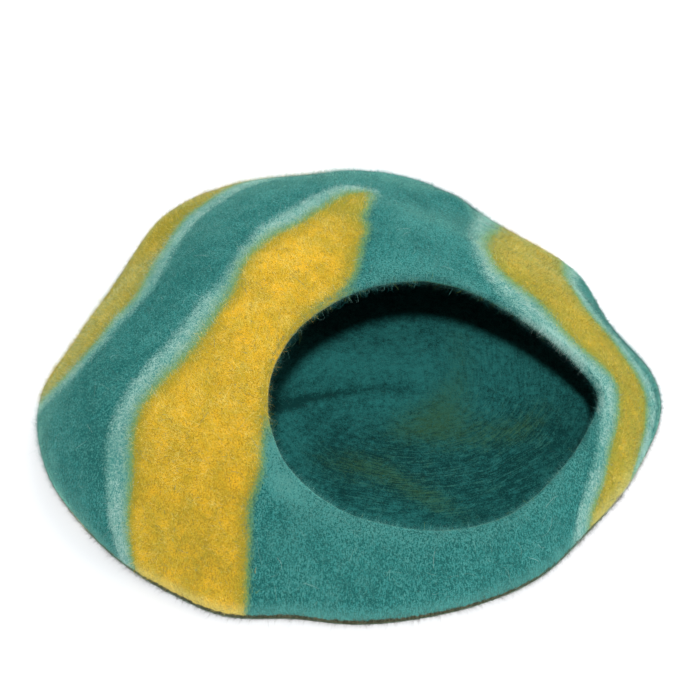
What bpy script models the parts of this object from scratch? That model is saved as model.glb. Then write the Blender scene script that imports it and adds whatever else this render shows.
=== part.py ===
"""Wool felt cat cave: one seamless felted shell with a flat underside, a soft lens-shaped dome over it
and an almond mouth cut through the front right of the dome.

The shell is one closed body. Its inner face is the primary surface and the outer face lies one wall
thickness outside it. Metres, +Z up, the mouth looks toward -Y, and the cave rests on z = 0.
"""

import bpy
import numpy as np

WALL = 0.006  # thickness of the felt
INNER_CORNER = 0.002  # radius of the fold inside, where the floor turns up into the wall
NOSE = WALL + INNER_CORNER  # radius of the rounded edge outside that fold
HEIGHT = 0.163  # crown of the outer face over the surface it rests on
CROWN = (-0.030, 0.010)  # how far the crown stands from the middle of the floor

# Sections of the dome, one row for each. Columns: azimuth from +X toward the back (degrees), reach of
# the outer edge (m), lean of the wall (1 stands up like an ellipse, 2 slopes straight in like a tent).
AZIMUTH, REACH, LEAN = range(3)
SECTIONS = np.array(
    [
        (0, 0.250, 1.20),
        (20, 0.229, 1.25),
        (40, 0.220, 1.20),
        (60, 0.216, 1.10),
        (80, 0.212, 1.15),
        (100, 0.206, 1.25),
        (120, 0.202, 1.30),
        (140, 0.196, 1.50),
        (160, 0.207, 1.90),
        (180, 0.230, 2.00),
        (200, 0.235, 1.45),
        (220, 0.234, 1.00),
        (240, 0.236, 1.00),
        (260, 0.234, 1.00),
        (280, 0.234, 1.00),
        (300, 0.236, 1.00),
        (320, 0.232, 1.00),
        (340, 0.239, 0.95),
    ]
)

# Slow waves of the edge. Columns: azimuth and half width (degrees), how far it moves out (m).
EDGE_WAVES = ((250, 7, 0.004), (263, 7, -0.004), (308, 8, 0.002))

# Soft bulges and dips of the dome. Columns: azimuth (degrees), place between crown (0) and edge (1),
# half width along the edge and up the wall in the same unit, height (m).
BULGES = (
    (139, 0.50, 0.17, 0.13, 0.013),
    (157, 0.55, 0.09, 0.10, 0.003),
    (179, 0.68, 0.10, 0.12, -0.0045),
    (57, 0.50, 0.14, 0.16, 0.003),
    (90, 0.40, 0.08, 0.08, -0.003),
    (21, 0.67, 0.12, 0.12, 0.0065),
    (7, 0.77, 0.07, 0.10, -0.010),
    (354, 0.90, 0.10, 0.08, 0.004),
)

# The mouth is cut square to a line that rises 40 degrees from the front. Columns of its edge: angle
# about the middle of the mouth, from the right over the top (degrees), and reach from there (m).
TURN, SPAN = range(2)
MOUTH_RISE = np.radians(40)
MOUTH_MIDDLE = np.array([0.070, -0.120, 0.107])
MOUTH_EDGE = np.array(
    [
        (0, 0.119),
        (12, 0.108),
        (28, 0.093),
        (50, 0.083),
        (75, 0.082),
        (105, 0.089),
        (135, 0.1005),
        (160, 0.1145),
        (180, 0.118),
        (200, 0.113),
        (225, 0.099),
        (250, 0.088),
        (280, 0.087),
        (305, 0.0915),
        (330, 0.099),
        (347, 0.1105),
    ]
)

# How the disc place of the mouth's edge is found: where the search starts, its steps, the longest
# move of a step, and how near the rim of the disc it may go.
MOUTH_START = (0.3, -0.4)
NEWTON_STEPS = 40
LONGEST_STEP = 0.1
LARGEST_PLACE = 0.98

SLOPE_STEP = 1e-4  # small move on the disc, from which slopes are worked out
EDGE_PLACE = 0.9994  # slopes at the rim of the disc are read this far out
TINY = 1e-9  # keeps a division from meeting zero

# The floor inside rises in a low swell behind the mouth, with a soft crease along the foot of it. The
# swell: its middle, half widths to the right and to the back, height (m). The crease: the place of its
# bend, how sharply it bends (1/m), how far it runs to each side of its middle, half width, depth (m).
SWELL_MIDDLE = (0.013, 0.042)
SWELL_WIDTHS = (0.070, 0.024)
SWELL_HEIGHT = 0.0035
CREASE_BEND = (0.028, 0.0085)
CREASE_CURVE = 2.8
CREASE_MIDDLE = 0.000
CREASE_REACH = 0.065
CREASE_HALF_WIDTH = 0.010
CREASE_DEPTH = 0.0022

RAYS = 90  # lines of points that run from the edge to the mouth
BASE_RINGS = 3  # steps from the middle of the underside to its edge
NOSE_RINGS = 4  # steps round the edge outside
DOME_RINGS = 20  # rings up each face of the dome, from the edge to the mouth
CROWDING = 1.35  # over 1 draws those rings together near the edge
LIP_RINGS = 3  # rings round the lip of the mouth
CORNER_RINGS = 2  # steps round the fold inside
FLOOR_RINGS = 20  # steps across the floor inside to its middle

TEAL = (0.045, 0.190, 0.180, 1.0)


def around(angle, table_angle, table_value):
    """Value at each angle of the closed curve through the table: cubic pieces whose slope at a row is
    that of the line through its two neighbours. Angles in degrees."""
    count = len(table_angle)
    turn = np.concatenate([table_angle[-2:] - 360, table_angle, table_angle[:3] + 360])
    value = np.concatenate([table_value[-2:], table_value, table_value[:3]])
    angle = np.asarray(angle) % 360
    row = np.clip(np.searchsorted(turn, angle, side="right") - 1, 1, count + 2)
    step = turn[row + 1] - turn[row]
    share = (angle - turn[row]) / step
    start = (value[row + 1] - value[row - 1]) / (turn[row + 1] - turn[row - 1]) * step
    end = (value[row + 2] - value[row]) / (turn[row + 2] - turn[row]) * step
    rise = value[row + 1] - value[row]
    cubic = (start + end - 2 * rise) * share + 3 * rise - 2 * start - end
    return value[row] + share * (start + share * cubic)


def edge_radius(azimuth):
    """Reach of the outer edge at each azimuth (degrees), with its slow waves."""
    reach = around(azimuth, SECTIONS[:, AZIMUTH], SECTIONS[:, REACH])
    for centre, half_width, out in EDGE_WAVES:
        off = (azimuth - centre + 180) % 360 - 180
        reach = reach + out * np.exp(-((off / half_width) ** 2))
    return reach


def inner_skin(a, b):
    """Inner face of the dome at disc coordinates (a, b): the crown is the middle of the unit disc and
    the edge its rim. The distance from the middle, as a quarter turn t, gives reach * sin(t) outward
    and cos(t) ** lean upward, and the crown shift fades out toward the edge."""
    azimuth = np.arctan2(b, a)
    quarter = np.hypot(a, b) * np.pi / 2
    low, high = np.sin(quarter), np.clip(np.cos(quarter), 0, 1)
    degrees = np.degrees(azimuth)
    reach = (edge_radius(degrees) - WALL) * low
    lean = around(degrees, SECTIONS[:, AZIMUTH], SECTIONS[:, LEAN])
    x = reach * np.cos(azimuth) + CROWN[0] * high
    y = reach * np.sin(azimuth) + CROWN[1] * high
    z = NOSE + (HEIGHT - NOSE - WALL) * high**lean
    point = np.stack([x, y, z], -1)
    out = np.stack([np.cos(azimuth) * low, np.sin(azimuth) * low, high], -1)
    for centre, place, across, along, height in BULGES:
        side, outward = np.sin(np.radians(centre)), np.cos(np.radians(centre))
        da, db = a - place * outward, b - place * side
        u = (db * outward - da * side) / across
        v = (da * outward + db * side) / along
        point = point + (height * np.exp(-(u**2) - v**2))[..., None] * out
    return point


def kept_inside(a, b, most):
    """(a, b), drawn in toward the middle where it is longer than most."""
    shrink = np.minimum(1, most / np.maximum(np.hypot(a, b), TINY))
    return a * shrink, b * shrink


def skin_normal(a, b):
    """Unit normal of the inner face, pointing out of the cave, from a small step each way."""
    a, b = kept_inside(a, b, EDGE_PLACE)
    along_a = inner_skin(a + SLOPE_STEP, b) - inner_skin(a - SLOPE_STEP, b)
    along_b = inner_skin(a, b + SLOPE_STEP) - inner_skin(a, b - SLOPE_STEP)
    normal = np.cross(along_a, along_b)
    return normal / np.linalg.norm(normal, axis=-1, keepdims=True)


def outer_skin(a, b):
    """Outer face of the dome: one wall thickness outside the inner face."""
    return inner_skin(a, b) + WALL * skin_normal(a, b)


def mouth_on_disc(angle):
    """Disc coordinates where the felt ends at each angle about the mouth (degrees): the outer face
    there lies on the mouth's outline, widened by half a wall that the rounded lip takes up. Newton
    steps on the two offsets in the plane of the cut."""
    turn = np.radians(angle)
    reach = around(angle, MOUTH_EDGE[:, TURN], MOUTH_EDGE[:, SPAN]) + WALL / 2
    right, up = reach * np.cos(turn), reach * np.sin(turn)
    rise = np.array([0.0, np.sin(MOUTH_RISE), np.cos(MOUTH_RISE)])

    def miss(a, b):
        offset = outer_skin(a, b) - MOUTH_MIDDLE
        return offset[..., 0] - right, offset @ rise - up

    a, b = np.full_like(turn, MOUTH_START[0]), np.full_like(turn, MOUTH_START[1])
    for _ in range(NEWTON_STEPS):
        f, g = miss(a, b)
        f_a, g_a = (v - w for v, w in zip(miss(a + SLOPE_STEP, b), (f, g)))
        f_b, g_b = (v - w for v, w in zip(miss(a, b + SLOPE_STEP), (f, g)))
        scale = SLOPE_STEP / (f_a * g_b - f_b * g_a)
        move = kept_inside((f_b * g - f * g_b) * scale, (f * g_a - f_a * g) * scale, LONGEST_STEP)
        a, b = kept_inside(a + move[0], b + move[1], LARGEST_PLACE)
    return a, b


def dome_lines():
    """Disc coordinates of every dome ring, edge first: straight lines on the disc from the edge to
    the mouth, with the rings closer together where the wall turns up from the edge."""
    angle = np.arange(RAYS) * 360.0 / RAYS
    end_a, end_b = mouth_on_disc(angle)
    turn = np.radians(angle)
    mid_a, mid_b = end_a.mean(), end_b.mean()
    along = mid_a * np.cos(turn) + mid_b * np.sin(turn)
    far = np.sqrt(along**2 + 1 - mid_a**2 - mid_b**2) - along
    edge_a, edge_b = mid_a + far * np.cos(turn), mid_b + far * np.sin(turn)
    share = (np.arange(DOME_RINGS) / (DOME_RINGS - 1))[:, None] ** CROWDING
    return edge_a + (end_a - edge_a) * share, edge_b + (end_b - edge_b) * share


def lip(outer, inner):
    """Rings of the rounded lip between the last outer and inner rings: half a circle whose middle is
    the middle of the wall."""
    across = (outer[-1] - inner[-1]) / 2
    ahead = outer[-1] - outer[-2]
    normal = across / np.linalg.norm(across, axis=-1, keepdims=True)
    ahead = ahead - (ahead * normal).sum(-1, keepdims=True) * normal
    ahead *= WALL / 2 / np.linalg.norm(ahead, axis=-1, keepdims=True)
    turn = np.pi * np.arange(1, LIP_RINGS + 1) / (LIP_RINGS + 1)
    middle = (outer[-1] + inner[-1]) / 2
    return [middle + across * np.cos(t) + ahead * np.sin(t) for t in turn]


def floor_height(x, y):
    """Height of the floor inside: one wall thickness, a bell-shaped swell, and the crease before it, a
    soft trough along a parabola that is deepest midway and runs out at both ends."""
    right = (x - SWELL_MIDDLE[0]) / SWELL_WIDTHS[0]
    back = (y - SWELL_MIDDLE[1]) / SWELL_WIDTHS[1]
    swell = SWELL_HEIGHT * np.exp(-(right**2) - back**2)
    off = y - CREASE_BEND[1] + CREASE_CURVE * (x - CREASE_BEND[0]) ** 2
    run_out = np.clip(1 - ((x - CREASE_MIDDLE) / CREASE_REACH) ** 2, 0, 1)
    return WALL + swell - CREASE_DEPTH * run_out * np.exp(-((off / CREASE_HALF_WIDTH) ** 2))


def turned_edge(azimuth, radius, turns):
    """Rings of a quarter circle of this radius about the middle of the fold, from level to straight
    down."""
    reach = edge_radius(np.degrees(azimuth)) - NOSE
    rings = []
    for t in turns:
        out = reach + radius * np.cos(t)
        low = np.full_like(out, NOSE - radius * np.sin(t))
        rings.append(np.stack([out * np.cos(azimuth), out * np.sin(azimuth), low], -1))
    return rings


def felt_rings():
    """All rings of the shell in order: from the middle of the underside round the edge, over the
    dome, through the mouth and back along the inside to the middle of the floor."""
    a, b = dome_lines()
    outer, inner = outer_skin(a, b), inner_skin(a, b)
    azimuth = np.arctan2(b[0], a[0])
    quarter = np.pi / 2 * np.arange(1, NOSE_RINGS + 1) / NOSE_RINGS
    nose = turned_edge(azimuth, NOSE, quarter)
    quarter = np.pi / 2 * np.arange(1, CORNER_RINGS + 1) / CORNER_RINGS
    corner = turned_edge(azimuth, INNER_CORNER, quarter)
    flat = [nose[-1] * (k / BASE_RINGS, k / BASE_RINGS, 0) for k in range(1, BASE_RINGS)]
    floor = []
    for k in range(FLOOR_RINGS - 1, 0, -1):
        ring = corner[-1] * (k / FLOOR_RINGS, k / FLOOR_RINGS, 0)
        ring[:, 2] = floor_height(ring[:, 0], ring[:, 1])
        floor.append(ring)
    rings = flat + nose[::-1] + list(outer) + lip(outer, inner) + list(inner[::-1])
    return np.array(rings + corner + floor)


def felt_shell(name):
    """The shell as one closed mesh: quads between the rings, and a fan at each of the two poles. Its
    box is moved so that its middle stands over the origin."""
    rings = felt_rings()
    count = rings.shape[0]
    poles = np.array([(0.0, 0.0, 0.0), (0.0, 0.0, floor_height(0.0, 0.0))])
    points = np.concatenate([rings.reshape(-1, 3), poles])
    points[:, :2] -= (points[:, :2].min(0) + points[:, :2].max(0)) / 2
    points[np.abs(points[:, 2]) < TINY, 2] = 0.0
    ring = np.arange(count - 1)[:, None] * RAYS
    ray = np.arange(RAYS)[None, :]
    follow = (ray + 1) % RAYS
    quads = np.stack([ring + ray, ring + RAYS + ray, ring + RAYS + follow, ring + follow], -1)
    faces = quads.reshape(-1, 4)[:, ::-1].tolist()
    last = (count - 1) * RAYS
    for k in range(RAYS):
        n = (k + 1) % RAYS
        faces.append((count * RAYS, n, k))
        faces.append((count * RAYS + 1, last + k, last + n))
    mesh = bpy.data.meshes.new(name)
    mesh.from_pydata(points.tolist(), [], faces)
    mesh.polygons.foreach_set("use_smooth", np.ones(len(mesh.polygons), bool))
    mesh.update()
    return bpy.data.objects.new(name, mesh)


def wool_felt():
    """Matt wool felt in teal."""
    material = bpy.data.materials.new("wool_felt")
    material.use_nodes = True
    surface = material.node_tree.nodes["Principled BSDF"]
    surface.inputs["Base Color"].default_value = TEAL
    surface.inputs["Roughness"].default_value = 0.95
    surface.inputs["Metallic"].default_value = 0.0
    return material


def main():
    for leftover in list(bpy.data.objects):
        bpy.data.objects.remove(leftover, do_unlink=True)
    cave = felt_shell("felt_cave")
    cave.data.materials.append(wool_felt())
    bpy.context.scene.collection.objects.link(cave)


main()
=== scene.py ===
"""Wool felt cat cave, dressed: the felted shell with its stripes, its lying fibres, its fuzz and its
stray curls, on a pale floor in studio light. Metres, +Z up, the mouth looks toward -Y."""

import functools
import itertools

import bpy
import numpy as np
from bpy.props import FloatProperty, FloatVectorProperty, IntProperty, PointerProperty
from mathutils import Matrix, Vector


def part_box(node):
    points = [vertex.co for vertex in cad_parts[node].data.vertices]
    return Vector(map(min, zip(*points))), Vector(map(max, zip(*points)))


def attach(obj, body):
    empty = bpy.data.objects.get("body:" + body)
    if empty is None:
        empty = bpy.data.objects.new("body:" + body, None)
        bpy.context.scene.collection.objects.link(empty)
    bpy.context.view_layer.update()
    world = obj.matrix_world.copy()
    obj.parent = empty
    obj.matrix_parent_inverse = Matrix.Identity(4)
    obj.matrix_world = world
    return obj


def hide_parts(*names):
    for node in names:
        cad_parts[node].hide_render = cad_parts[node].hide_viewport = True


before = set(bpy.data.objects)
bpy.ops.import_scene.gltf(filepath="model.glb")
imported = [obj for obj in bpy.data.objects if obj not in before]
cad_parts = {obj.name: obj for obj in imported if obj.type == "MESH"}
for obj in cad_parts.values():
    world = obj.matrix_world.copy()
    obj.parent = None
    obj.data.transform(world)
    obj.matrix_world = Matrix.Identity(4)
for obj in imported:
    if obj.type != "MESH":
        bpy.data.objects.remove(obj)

bl_info = {
    "name": "Felt cat cave",
    "version": (1, 0, 0),
    "blender": (4, 5, 0),
    "location": "View3D > Sidebar > Felt cave",
    "description": "A seamless wool felt cat cave with felted-in stripes and fuzz",
    "category": "Add Mesh",
}

# ---------------------------------------------------------------- sizes that the solid has too

WALL = 0.006  # thickness of the felt
INNER_CORNER = 0.002  # radius of the fold inside, where the floor turns up into the wall
NOSE = WALL + INNER_CORNER  # radius of the rounded edge outside that fold
HEIGHT = 0.163  # crown of the outer face over the surface it rests on
CROWN = (-0.030, 0.010)  # how far the crown stands from the middle of the floor

# Sections of the dome. Columns: azimuth from +X toward the back (degrees), reach of the outer edge
# (m), lean of the wall (1 stands up like an ellipse, 2 slopes straight in like a tent).
AZIMUTH, REACH, LEAN = range(3)
SECTIONS = np.array([
    (0, 0.250, 1.20),
    (20, 0.229, 1.25),
    (40, 0.220, 1.20),
    (60, 0.216, 1.10),
    (80, 0.212, 1.15),
    (100, 0.206, 1.25),
    (120, 0.202, 1.30),
    (140, 0.196, 1.50),
    (160, 0.207, 1.90),
    (180, 0.230, 2.00),
    (200, 0.235, 1.45),
    (220, 0.234, 1.00),
    (240, 0.236, 1.00),
    (260, 0.234, 1.00),
    (280, 0.234, 1.00),
    (300, 0.236, 1.00),
    (320, 0.232, 1.00),
    (340, 0.239, 0.95),
])

# Slow waves of the edge. Columns: azimuth and half width (degrees), how far it moves out (m).
EDGE_WAVES = ((250, 7, 0.004), (263, 7, -0.004), (308, 8, 0.002))

# Soft bulges and dips of the dome. Columns: azimuth (degrees), place between crown (0) and edge (1),
# half width along the edge and up the wall in the same unit, height (m).
BULGES = (
    (139, 0.50, 0.17, 0.13, 0.013),
    (157, 0.55, 0.09, 0.10, 0.003),
    (179, 0.68, 0.10, 0.12, -0.0045),
    (57, 0.50, 0.14, 0.16, 0.003),
    (90, 0.40, 0.08, 0.08, -0.003),
    (21, 0.67, 0.12, 0.12, 0.0065),
    (7, 0.77, 0.07, 0.10, -0.010),
    (354, 0.90, 0.10, 0.08, 0.004),
)

# Edge of the mouth: angle about its middle, from the right over the top (degrees), and reach (m).
TURN, SPAN = range(2)
MOUTH_RISE = np.radians(40)
MOUTH_MIDDLE = np.array([0.070, -0.120, 0.107])
MOUTH_AXIS = np.array([0.0, -np.cos(MOUTH_RISE), np.sin(MOUTH_RISE)])
MOUTH_UP = np.array([0.0, np.sin(MOUTH_RISE), np.cos(MOUTH_RISE)])
MOUTH_EDGE = np.array([
    (0, 0.119),
    (12, 0.108),
    (28, 0.093),
    (50, 0.083),
    (75, 0.082),
    (105, 0.089),
    (135, 0.1005),
    (160, 0.1145),
    (180, 0.118),
    (200, 0.113),
    (225, 0.099),
    (250, 0.088),
    (280, 0.087),
    (305, 0.0915),
    (330, 0.099),
    (347, 0.1105),
])

# How the mouth's edge is found on the face: where the search starts, how many steps it takes, how long
# a step may be, and how near to the rim it may come.
MOUTH_START = (0.3, -0.4)
NEWTON_STEPS = 40
LONGEST_STEP = 0.1
LARGEST_PLACE = 0.98
SLOPE_STEP = 1e-4  # step on the face that slopes are taken from
EDGE_PLACE = 0.9994  # slopes are taken no nearer to the rim than this
TINY = 1e-9  # stands in for 0 where a value is divided by

# The low swell of the floor inside and the soft crease along the foot of it. The swell: its middle,
# half widths to the right and to the back, height (m). The crease: the place of its bend, how sharply
# it bends (1/m), how far it runs to each side, half width, depth (m).
SWELL_MIDDLE = (0.013, 0.042)
SWELL_WIDTHS = (0.070, 0.024)
SWELL_HEIGHT = 0.0035
CREASE_BEND = (0.028, 0.0085)
CREASE_CURVE = 2.8
CREASE_REACH = 0.065
CREASE_HALF_WIDTH = 0.010
CREASE_DEPTH = 0.0022

# ---------------------------------------------------------------- how finely the felt is divided

RAYS = 348  # lines of points that run from the edge to the mouth
BASE_RINGS = 6
NOSE_RINGS = 10
DOME_RINGS = 112
INNER_RINGS = 72
CROWDING = 1.35  # over 1 draws the rings together near the edge
LIP_RINGS = 9
CORNER_RINGS = 4
FLOOR_RINGS = 42

# ---------------------------------------------------------------- the stripes as they were laid

# The stripes were laid on the flat round face before it was blocked to a dome. Its middle is the
# crown and its rim is at 1. An outline goes once round a strip of wool, as points right and back.
FACE_SCALE = 0.28  # metres of felt for 1 on the face, about halfway out
EDGE_SPREAD = 0.03  # how far past the rim the rounded edge reaches on the face
UNDER_PLACE = 1.08  # and where the underside lies on it
OUTLINE_STEPS = 6  # short lines between two points of an outline

MUSTARD_MIDDLE = (
    (-0.66, -0.92), (-0.555, -0.75), (-0.52, -0.70), (-0.48, -0.64), (-0.44, -0.58), (-0.415, -0.53),
    (-0.395, -0.48), (-0.36, -0.43), (-0.31, -0.39), (-0.25, -0.345), (-0.20, -0.295), (-0.16, -0.24),
    (-0.13, -0.19), (-0.11, -0.13), (-0.085, -0.08), (-0.05, -0.04), (0.00, 0.00), (0.04, 0.05),
    (0.08, 0.11), (0.11, 0.15), (0.145, 0.17), (0.14, 0.11), (0.125, 0.04), (0.12, -0.03),
    (0.115, -0.09), (0.10, -0.15), (0.07, -0.20), (0.03, -0.24), (-0.01, -0.30), (-0.04, -0.37),
    (-0.075, -0.45), (-0.102, -0.53), (-0.120, -0.60), (-0.15, -0.65), (-0.17, -0.70), (-0.185, -0.76),
    (-0.21, -0.82), (-0.24, -0.89), (-0.28, -0.97), (-0.32, -1.08),
)
AQUA_MIDDLE = (
    (-0.74, -0.90), (-0.64, -0.755), (-0.60, -0.69), (-0.57, -0.64), (-0.545, -0.59), (-0.51, -0.53),
    (-0.485, -0.485), (-0.45, -0.435), (-0.40, -0.39), (-0.34, -0.345), (-0.28, -0.30), (-0.23, -0.25),
    (-0.19, -0.20), (-0.155, -0.16), (-0.13, -0.11), (-0.10, -0.05), (-0.07, 0.01), (-0.03, 0.06),
    (0.02, 0.11), (0.06, 0.16), (0.11, 0.195), (0.165, 0.195), (0.15, 0.11), (0.10, -0.05),
    (0.00, -0.20), (-0.20, -0.55), (-0.30, -0.80), (-0.40, -1.10),
)
MUSTARD_LEFT = (
    (-1.10, -0.06), (-0.95, -0.09), (-0.85, -0.11), (-0.78, -0.135), (-0.70, -0.17), (-0.62, -0.19),
    (-0.55, -0.195), (-0.48, -0.175), (-0.42, -0.135), (-0.365, -0.10), (-0.34, -0.03), (-0.335, 0.05),
    (-0.345, 0.13), (-0.33, 0.20), (-0.28, 0.26), (-0.23, 0.31), (-0.18, 0.36), (-0.10, 0.405),
    (0.00, 0.43), (0.08, 0.48), (0.13, 0.57), (0.15, 0.70), (0.17, 0.85), (0.19, 1.08), (-0.15, 1.08),
    (-0.17, 0.90), (-0.20, 0.76), (-0.26, 0.62), (-0.35, 0.50), (-0.45, 0.40), (-0.51, 0.30),
    (-0.53, 0.20), (-0.56, 0.11), (-0.64, 0.06), (-0.76, 0.05), (-0.90, 0.09), (-1.10, 0.14),
)
AQUA_LEFT = (
    (-1.10, -0.11), (-0.95, -0.13), (-0.85, -0.155), (-0.78, -0.18), (-0.70, -0.21), (-0.62, -0.23),
    (-0.54, -0.235), (-0.46, -0.21), (-0.385, -0.165), (-0.32, -0.115), (-0.285, -0.04), (-0.28, 0.05),
    (-0.28, 0.13), (-0.25, 0.19), (-0.20, 0.235), (-0.14, 0.28), (-0.06, 0.32), (0.04, 0.345),
    (0.13, 0.40), (0.19, 0.50), (0.22, 0.65), (0.23, 0.85), (0.26, 1.08), (0.00, 1.08), (0.00, 0.80),
    (-0.10, 0.55), (-0.35, 0.35), (-0.45, 0.15), (-0.60, -0.05), (-0.85, 0.00), (-1.10, 0.00),
)
MUSTARD_RIGHT = (
    (0.83, -0.80), (0.77, -0.64), (0.765, -0.56), (0.77, -0.48), (0.765, -0.40), (0.765, -0.32),
    (0.755, -0.26), (0.73, -0.21), (0.68, -0.185), (0.62, -0.175), (0.57, -0.155), (0.53, -0.12),
    (0.49, -0.09), (0.43, -0.06), (0.385, -0.02), (0.375, 0.03), (0.40, 0.09), (0.43, 0.15),
    (0.455, 0.21), (0.475, 0.28), (0.50, 0.36), (0.51, 0.46), (0.50, 0.58), (0.48, 0.72), (0.50, 0.98),
    (0.70, 0.88), (0.66, 0.70), (0.68, 0.56), (0.69, 0.44), (0.66, 0.32), (0.62, 0.22), (0.59, 0.12),
    (0.585, 0.04), (0.61, -0.02), (0.65, -0.045), (0.70, -0.075), (0.75, -0.10), (0.80, -0.125),
    (0.845, -0.165), (0.875, -0.22), (0.895, -0.28), (0.90, -0.35), (0.91, -0.42), (0.93, -0.50),
    (1.00, -0.62),
)
AQUA_RIGHT = (
    (0.74, -0.85), (0.70, -0.64), (0.70, -0.54), (0.705, -0.46), (0.705, -0.40), (0.70, -0.33),
    (0.69, -0.27), (0.65, -0.235), (0.56, -0.215), (0.48, -0.17), (0.42, -0.13), (0.37, -0.075),
    (0.345, -0.02), (0.345, 0.04), (0.36, 0.10), (0.38, 0.16), (0.40, 0.23), (0.415, 0.30), (0.43, 0.38),
    (0.44, 0.48), (0.43, 0.60), (0.41, 0.75), (0.42, 1.00), (0.76, 0.88), (0.71, 0.70), (0.73, 0.56),
    (0.74, 0.43), (0.70, 0.30), (0.66, 0.20), (0.63, 0.10), (0.63, 0.03), (0.66, -0.01), (0.72, -0.035),
    (0.78, -0.06), (0.84, -0.085), (0.895, -0.135), (0.93, -0.20), (0.96, -0.28), (0.955, -0.36),
    (0.95, -0.42), (0.97, -0.49), (1.06, -0.60),
)
MUSTARD_OUTLINES = (MUSTARD_LEFT, MUSTARD_MIDDLE, MUSTARD_RIGHT)
AQUA_OUTLINES = (AQUA_LEFT, AQUA_MIDDLE, AQUA_RIGHT)

# How much green wool is mixed into each stripe, and where there is more. Columns of the places: right,
# back and half width on the face, share.
STRIPE_MOSS = (0.72, 0.08, 0.66)
MOSS_PLACES = (
    (0.11, 0.12, 0.10, 0.48),
    (0.105, 0.04, 0.050, 0.20),
    (0.100, -0.09, 0.050, 0.26),
    (-0.15, -0.13, 0.050, 0.18),
    (-0.40, -0.50, 0.060, 0.14),
    (-0.38, -0.74, 0.15, 0.20),
    (-0.20, -0.36, 0.07, 0.08),
    (0.00, -0.13, 0.08, -0.06),
    (-0.88, -0.02, 0.14, 0.20),
    (0.84, -0.30, 0.10, 0.12),
)

# Painted highlights and painted shade outside, in part also the wool's own tone: bells that draw the wool
# paler, or darker where the strength is minus. Columns: right, back and half width on the face, strength
# (minus for painted shade).
PAINTED_LIGHT_PLACES = (
    (-0.088, -0.56, 0.035, 1.30),
    (-0.075, -0.63, 0.035, 1.10),
    (-0.035, -0.69, 0.045, 0.50),
    (0.045, -0.72, 0.045, 0.25),
    (0.240, 0.065, 0.035, 0.40),
    (0.290, 0.020, 0.030, 0.30),
    (0.290, 0.234, 0.050, -0.10),
    (0.350, -0.120, 0.030, 0.35),
    (-0.045, -0.640, 0.030, 0.50),
    (-0.530, -0.500, 0.090, -0.90),
    (-0.740, -0.380, 0.040, 0.60),
    (-0.800, -0.480, 0.045, 0.80),
    (-0.800, -0.600, 0.050, 0.50),
    (-0.110, -0.790, 0.060, 0.35),
    (0.180, -0.140, 0.045, 0.30),
    (0.250, -0.090, 0.050, 0.25),
    (0.330, 0.025, 0.050, 0.15),
    (0.220, 0.330, 0.120, 0.25),
    (-0.280, -0.780, 0.150, -0.50),
    (-0.230, -0.600, 0.100, -0.25),
    (0.110, 0.080, 0.060, -0.40),
    (0.940, -0.470, 0.130, 1.40),
    (-0.900, -0.580, 0.110, 1.10),
    (-1.000, -0.380, 0.110, 1.10),
    (0.960, -0.300, 0.060, 0.60),
    (0.700, -0.430, 0.060, -0.60),
    (-0.950, -0.200, 0.100, 0.50),
    (0.560, -0.205, 0.070, 0.60),
    (0.400, 0.020, 0.050, 0.30),
    (0.440, 0.180, 0.060, -0.30),
    (-0.500, -0.280, 0.150, -0.35),
    (-0.250, -0.080, 0.150, -0.35),
    (0.230, 0.120, 0.070, 0.35),
)

# Soft marks inside. Columns: right, back (m), half width across and along, turn (degrees), strength.
# First where the olive wool of the underside shows through, then painted shade and painted light, in part
# also the wool's own tone: shade painted along the crease and in other places, lighter teal painted on the
# swell behind it and elsewhere. Then where the fibres are combed round one place, and where the felt is
# finely rippled.
OLIVE_HAZE = (
    (0.088, 0.062, 0.014, 0.040, 0, 0.45),
    (0.074, 0.008, 0.020, 0.030, -20, 0.60),
    (0.055, -0.022, 0.036, 0.020, 30, 0.65),
    (0.095, -0.033, 0.042, 0.020, 5, 0.65),
    (0.000, -0.068, 0.034, 0.014, -20, 0.70),
    (0.053, -0.100, 0.040, 0.012, -36, 0.75),
    (0.138, -0.020, 0.030, 0.012, 50, 0.50),
)
INSIDE_PAINTED_LIGHT = (
    (-0.052, -0.001, 0.022, 0.0070, 24, -1.70),
    (-0.014, 0.013, 0.032, 0.0050, 10, -1.30),
    (0.035, 0.018, 0.022, 0.0045, -8, -0.60),
    (-0.010, 0.046, 0.050, 0.018, 8, 0.75),
    (0.036, 0.040, 0.028, 0.014, -20, 0.30),
    (0.100, 0.045, 0.050, 0.035, 10, 0.50),
    (0.085, 0.000, 0.050, 0.030, 10, 0.30),
    (0.000, 0.002, 0.030, 0.008, 10, 0.25),
    (-0.030, -0.022, 0.030, 0.010, 20, 0.20),
    (0.150, -0.040, 0.045, 0.028, 50, -0.60),
    (0.010, -0.056, 0.055, 0.006, -8, -0.40),
    (0.045, -0.072, 0.100, 0.040, -18, -0.60),
    (-0.044, -0.045, 0.014, 0.030, 10, 0.70),
    (-0.002, -0.090, 0.014, 0.024, 30, -0.40),
    (0.030, 0.010, 0.040, 0.020, 0, 0.25),
    (0.105, 0.070, 0.030, 0.020, -20, 0.30),
    (0.060, 0.050, 0.020, 0.020, 0, 0.40),
    (0.118, -0.056, 0.034, 0.0035, 38, 0.50),
)
COMBED = (
    (0.050, -0.085, 0.080, 0.045, 0, 1.0),
    (0.130, -0.020, 0.045, 0.055, 0, 0.9),
)
RIPPLED = ((0.110, 0.050, 0.055, 0.050, 0, 1.0),)
LIP_PAINTED_LIGHT = 0.010  # painted highlight: the wool is drawn paler within this distance of the lip (m)
RIM_PAINTED_LIGHT = (0.010, 0.024)  # and a painted highlight just over the underside, less and less between these heights (m)
SWIRL_MIDDLE = (0.050, 0.035, 0.0)  # the fibres inside run round this place

# ---------------------------------------------------------------- relief of the felt

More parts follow.
